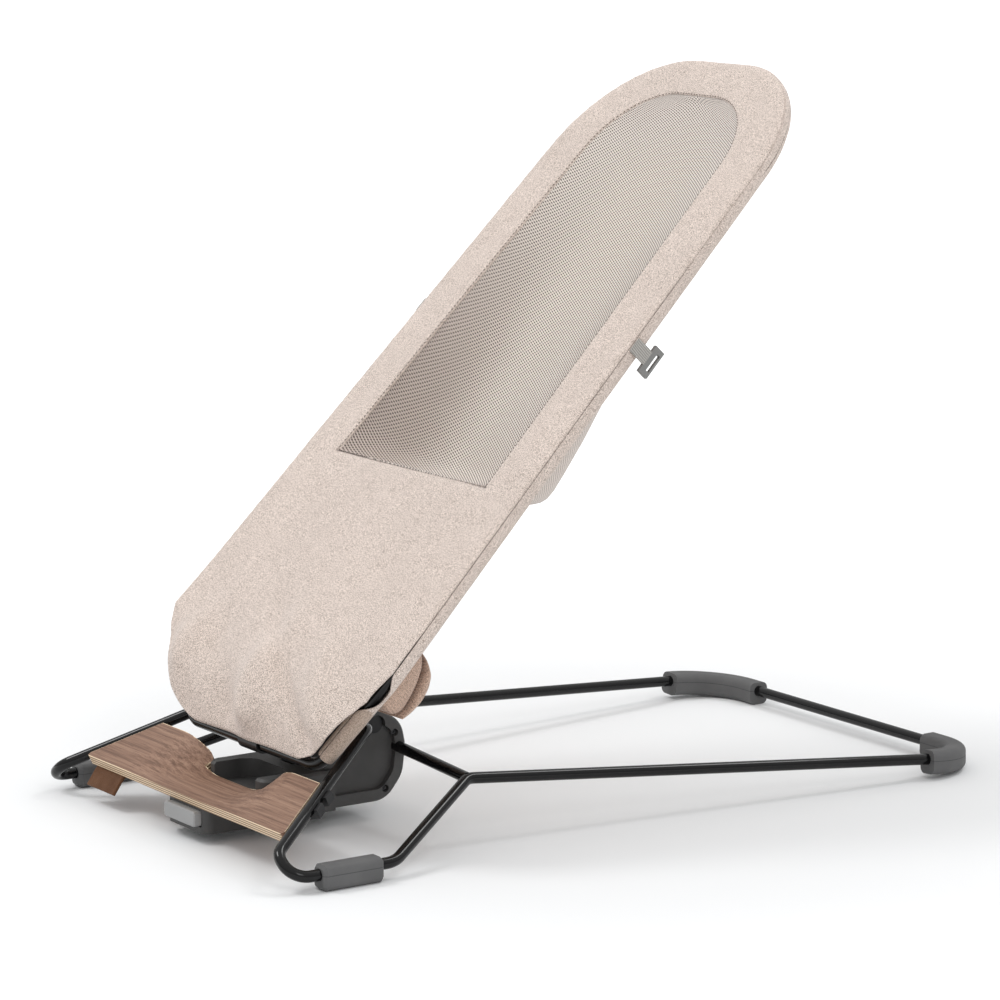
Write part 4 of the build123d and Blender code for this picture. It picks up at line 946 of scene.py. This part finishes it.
def lobe(half, near, far):
    """Rings of points round a pad between two faces, with soft ends across the seat."""
    near = spaced([Vector(p) for p in near], LOBE_STEPS)
    far = spaced([Vector(p) for p in far], LOBE_STEPS)
    inside = half - LOBE_EDGE
    ends = [math.cos(math.pi / 2 * k / END_STEPS) for k in range(END_STEPS)]
    slices = [(inside + LOBE_EDGE * e, (1 - e**2.5) ** 0.4) for e in ends]
    middle = [(lerp(inside, -inside, i / MIDDLE_STEPS), 1.0) for i in range(MIDDLE_STEPS + 1)]
    slices = slices + middle + [(-x, share) for x, share in reversed(slices)]
    rings = []
    for x, share in slices:
        out = [lerp((a + b) / 2, b, share) for a, b in zip(near, far)]
        back = [lerp((a + b) / 2, a, share) for a, b in zip(near, far)]
        for p in out + back[::-1]:
            ripple = RIPPLE_HEIGHT * noise.noise((x * 16, p.x * 40, p.y * 40))
            rings.append(seat(x, p.x, p.y + ripple))
    return rings, len(slices)


points, faces = [], []
for half, near, far in LOBES:
    rings, count = lobe(half, near, far)
    faces += grid_faces(count, 2 * LOBE_STEPS, len(points), True)
    points += rings
bundle = piece("stowed_bundle", points, faces, "seat", stowed_fabric)
weld(bundle, 0.0002)


def swollen(obj, limit):
    """Lets cloth pressure round a closed pad of even faces, with each point held to a limit."""
    before = [v.co.copy() for v in obj.data.vertices]
    cloth = obj.modifiers.new("swell", "CLOTH")
    cloth.settings.use_pressure = True
    cloth.settings.uniform_pressure_force = SWELL_PRESSURE
    cloth.settings.effector_weights.gravity = 0
    cloth.point_cache.frame_start = 1
    cloth.point_cache.frame_end = SWELL_FRAMES
    for number in range(1, SWELL_FRAMES + 1):
        scene.frame_set(number)
    settled = obj.evaluated_get(bpy.context.evaluated_depsgraph_get())
    after = [v.co.copy() for v in settled.data.vertices]
    obj.modifiers.remove(cloth)
    scene.frame_set(1)
    for vertex, old, new in zip(obj.data.vertices, before, after):
        move = new - old
        if move.length > limit:
            move *= limit / move.length
        vertex.co = old + move
    soften = obj.modifiers.new("soft", "SMOOTH")
    soften.factor = 0.5
    soften.iterations = 2
    finer = obj.modifiers.new("finer", "SUBSURF")
    finer.levels = finer.render_levels = 1


swollen(bundle, SWELL_LIMIT)
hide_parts("stowed_flap")

# Side tabs: woven tape stubs
SIDES = (("left", -1), ("right", 1))
DROOP = math.radians(86)
TAB_STATION, TAPE_ROOT, TAPE_BOW = 0.293, 0.0017, 0.0006
TAPE_WIDTH, TAPE_LENGTH = 0.0125, 0.0205
TAPE_ROWS, TAPE_COLUMNS = 15, 13
for name, side in SIDES:
    length = math.hypot(1, TAPER)
    outward = Vector((side, 0, 0)) / length + SEAT_UP * (TAPER / length)
    edge_line = outward.cross(SEAT_NORMAL)
    root = seat(side * half_width(TAB_STATION), TAB_STATION, SEAM_DEPTH) + outward * TAPE_ROOT
    down = outward * math.cos(DROOP) - SEAT_NORMAL * math.sin(DROOP)
    lift = outward * math.sin(DROOP) + SEAT_NORMAL * math.cos(DROOP)
    points = []
    for i in range(TAPE_ROWS):
        t = i / (TAPE_ROWS - 1)
        centre = root + down * (TAPE_LENGTH * t) + lift * (TAPE_BOW * math.sin(math.pi * t))
        for j in range(TAPE_COLUMNS):
            points.append(centre + edge_line * (TAPE_WIDTH * (j / (TAPE_COLUMNS - 1) - 0.5)))
    strap = piece(f"tape_{name}", points, grid_faces(TAPE_ROWS, TAPE_COLUMNS), f"tab_{name}", tape)
    weld(strap)
    thicken(strap, TAPE_CLOTH)
    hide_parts(f"webbing_tab_{name}")

# Leather pull tab under the foot plate: its line in section, up the plate and out of its face
TAB_LINE = (Vector((0.020, -0.0065)), Vector((0.0, -0.0065)), Vector((-0.014, -0.0145)))
TAB_BEND, TAB_BEND_STEPS = 0.012, 8
TAB_INNER, TAB_OUTER, TAB_STEPS = -0.097, -0.140, 20
flat_run, hanging_run = ((b - a).normalized() for a, b in zip(TAB_LINE, TAB_LINE[1:]))
bend = arc_points(TAB_LINE[1], flat_run, hanging_run, TAB_BEND, TAB_BEND_STEPS)
strap_line = [TAB_LINE[0]] + bend + [TAB_LINE[2]]
points = []
for p in strap_line:
    for j in range(TAB_STEPS + 1):
        x = lerp(TAB_INNER, TAB_OUTER, j / TAB_STEPS)
        points.append(PLATE_FRONT + Vector((x, 0, 0)) + PLATE_UP * p.x + PLATE_NORMAL * p.y)
hide_tab = piece("leather_tab", points, grid_faces(len(strap_line), TAB_STEPS + 1), "base", hide)
weld(hide_tab)
thicken(hide_tab, HIDE_CLOTH)
soften = hide_tab.modifiers.new("soft_edges", "BEVEL")
soften.width = 0.0007
soften.segments = 2
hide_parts("pull_strap")

# Coil spring under the lock bolt, built at one length; the real one shortens as the bolt goes down
WIRE_RADIUS = 0.00045
CLOSED_PITCH = 0.00095
COIL_TURNS, COIL_STEPS, WIRE_SIDES = 5, 160, 8
COIL_PLAY = 0.00002
spring_low, spring_high = (Vector(corner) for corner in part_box("bolt_spring"))
spring_foot = (spring_low + spring_high) / 2
spring_foot.z = spring_low.z
spring_length = spring_high.z - spring_low.z
coil_radius = (spring_high.x - spring_low.x) / 2 - WIRE_RADIUS
coil_rise = spring_length - 2 * (WIRE_RADIUS + COIL_PLAY)
open_pitch = (coil_rise - 2 * CLOSED_PITCH) / (COIL_TURNS - 2)
points = []
for i in range(COIL_STEPS + 1):
    turn = COIL_TURNS * i / COIL_STEPS
    opened = max(0, min(turn - 1, COIL_TURNS - 2))
    height = CLOSED_PITCH * (turn - opened) + open_pitch * opened
    out = Vector((math.cos(2 * math.pi * turn), math.sin(2 * math.pi * turn), 0))
    middle = spring_foot + out * coil_radius + Vector((0, 0, height + WIRE_RADIUS + COIL_PLAY))
    for k in range(WIRE_SIDES):
        angle = 2 * math.pi * k / WIRE_SIDES
        points.append(middle + (out * math.cos(angle) + Vector((0, 0, math.sin(angle)))) * WIRE_RADIUS)
last = len(points) - WIRE_SIDES
faces = grid_faces(COIL_STEPS + 1, WIRE_SIDES, 0, True)
faces += [tuple(range(WIRE_SIDES)), tuple(range(last, last + WIRE_SIDES))]
coil = piece("coil_spring", points, faces, "base", steel)
weld(coil, 0.000001)
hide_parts("bolt_spring")
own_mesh(coil)

# Screws in the hub covers
# Outline of the head as (height, radius), and one arm of its recess as (turn, radius)
HEAD_PROFILE = ((0.0, 0.0026), (0.0004, 0.0026), (0.0009, 0.0023), (0.0011, 0.0016))
RECESS_ARM = ((-0.22, 0.0012), (0.22, 0.0012), (math.pi / 4, 0.00042))
RECESS_TURN, RECESS_DEPTH = 0.4, 0.0006
HEAD_SIDES = 24
COVER_FACE = 0.035
# Screw centres, as (y, z)
SCREWS = ((-0.149, 0.068), (-0.158, 0.0245), (-0.207, 0.040))
steel_dark = plain("dark_steel", (0.07, 0.07, 0.072), 0.35, 1500.0, 0.00002, 0.1, 0.0, 1.0)


def screw(name, centre, side):
    """A pan head with a cross recess, its axis along X."""

    def spot(height, radius, turn):
        return centre + Vector((side * height, radius * math.cos(turn), radius * math.sin(turn)))

    points = []
    for height, radius in HEAD_PROFILE:
        points += [spot(height, radius, 2 * math.pi * j / HEAD_SIDES) for j in range(HEAD_SIDES)]
    faces = grid_faces(len(HEAD_PROFILE), HEAD_SIDES, 0, True)
    top_height = HEAD_PROFILE[-1][0]
    arms = []
    for j in range(4):
        arms += [spot(top_height, r, math.pi / 2 * j + RECESS_TURN + turn) for turn, r in RECESS_ARM]
    first, ring = len(points), len(arms)
    points += arms
    points += [p - Vector((side * RECESS_DEPTH, 0, 0)) for p in arms]
    faces += grid_faces(2, ring, first, True)
    faces.append(tuple(range(first + ring, first + 2 * ring)))
    top = (len(HEAD_PROFILE) - 1) * HEAD_SIDES
    for j in range(HEAD_SIDES):
        k = (j + 1) % HEAD_SIDES
        a, b = first + (j * ring) // HEAD_SIDES, first + (k * ring) // HEAD_SIDES
        faces.append((top + j, top + k, b, a) if a != b else (top + j, top + k, a))
    obj = piece(name, points, faces, "base", steel_dark)
    weld(obj, 0.000001)
    return obj


for name, side in SIDES:
    for number, (y, z) in enumerate(SCREWS, start=1):
        head = screw(f"cover_screw_{name}_{number}", Vector((side * COVER_FACE, y, z)), side)

# Stage: pale floor, soft light and the camera
FLOOR = 40
DOME_STRENGTH = 0.86
floor_mesh = bpy.data.meshes.new("floor")
floor_mesh.from_pydata(
    [(-FLOOR, -FLOOR, 0), (FLOOR, -FLOOR, 0), (FLOOR, FLOOR, 0), (-FLOOR, FLOOR, 0)], [], [(0, 1, 2, 3)]
)
floor = bpy.data.objects.new("floor", floor_mesh)
scene.collection.objects.link(floor)
s = Shader("floor_paint")
paint = s.ramp(s.noise(s.coords(), 0.8), [(0.4, (0.882, 0.892, 0.9)), (0.6, (0.9, 0.91, 0.918))])
s.set(Base_Color=paint, Roughness=0.7, Specular_IOR_Level=0.15)
rays = s.node("ShaderNodeLightPath").outputs
mirrored = s.math("MAXIMUM", rays["Is Glossy Ray"], rays["Is Transmission Ray"])
seen = s.math("MAXIMUM", rays["Is Camera Ray"], mirrored)
away = s.reduce("LENGTH", s.coords())
# The floor goes over into the white backdrop, away from the object
gradual = {"interpolation_type": "SMOOTHSTEP"}
lift = s.node("ShaderNodeMapRange", gradual, Value=away, i1=0.32, i2=1.2, i3=0.01, i4=0.55)
s.set(Emission_Color=(1, 1, 1, 1), Emission_Strength=s.math("MULTIPLY", seen, lift.outputs[0]))
floor_mesh.materials.append(s.material)

# The dome lights the object and shows in its reflections, and the camera sees plain white
world = bpy.data.worlds.new("studio")
world.use_nodes = True
sky_nodes, sky_links = world.node_tree.nodes, world.node_tree.links
dome = sky_nodes["Background"]
dome.inputs[1].default_value = DOME_STRENGTH
height = sky_nodes.new("ShaderNodeSeparateXYZ")
sky_links.new(sky_nodes.new("ShaderNodeTexCoord").outputs["Generated"], height.inputs[0])
fade = sky_nodes.new("ShaderNodeValToRGB")
fade.color_ramp.elements[0].color = grey(0.55)
fade.color_ramp.elements[1].position = 0.75
fade.color_ramp.elements[1].color = grey(1.0)
sky_links.new(height.outputs[2], fade.inputs[0])
sky_links.new(fade.outputs[0], dome.inputs[0])
backdrop = sky_nodes.new("ShaderNodeBackground")
backdrop.inputs[0].default_value = (1, 1, 1, 1)
path = sky_nodes.new("ShaderNodeLightPath").outputs
shown = sky_nodes.new("ShaderNodeMath")
shown.operation = "MAXIMUM"
sky_links.new(path["Is Camera Ray"], shown.inputs[0])
sky_links.new(path["Is Transmission Ray"], shown.inputs[1])
choose = sky_nodes.new("ShaderNodeMixShader")
sky_links.new(shown.outputs[0], choose.inputs[0])
sky_links.new(dome.outputs[0], choose.inputs[1])
sky_links.new(backdrop.outputs[0], choose.inputs[2])
sky_links.new(choose.outputs[0], sky_nodes["World Output"].inputs[0])
scene.world = world


def area_light(name, location, target, size, power):
    """A square lamp turned to a point."""
    data = bpy.data.lights.new(name, "AREA")
    data.size = size
    data.energy = power
    lamp = bpy.data.objects.new(name, data)
    lamp.location = location
    lamp.rotation_euler = (Vector(location) - Vector(target)).to_track_quat("Z", "Y").to_euler()
    scene.collection.objects.link(lamp)


area_light("key", (-1.2, -1.6, 2.6), (0, 0, 0.2), 0.9, 23.5)
area_light("rim", (0.25, 1.62, 2.4), (0, 0, 0.1), 0.7, 11.0)
area_light("fill", (2.6, -0.6, 1.8), (0, 0, 0.25), 0.9, 10.0)

TARGET = Vector((0, -0.0244, 0.234))
AZIMUTH, ELEVATION, DISTANCE = math.radians(55.9), math.radians(10.0), 3.188
back = Vector(
    (
        math.sin(AZIMUTH) * math.cos(ELEVATION),
        -math.cos(AZIMUTH) * math.cos(ELEVATION),
        math.sin(ELEVATION),
    )
)
camera_data = bpy.data.cameras.new("camera")
camera_data.lens = 144
camera_data.sensor_width = 36
camera = bpy.data.objects.new("camera", camera_data)
camera.location = TARGET + back * DISTANCE
camera.rotation_euler = back.to_track_quat("Z", "Y").to_euler()
scene.collection.objects.link(camera)
scene.camera = camera
scene.view_settings.view_transform = "Standard"
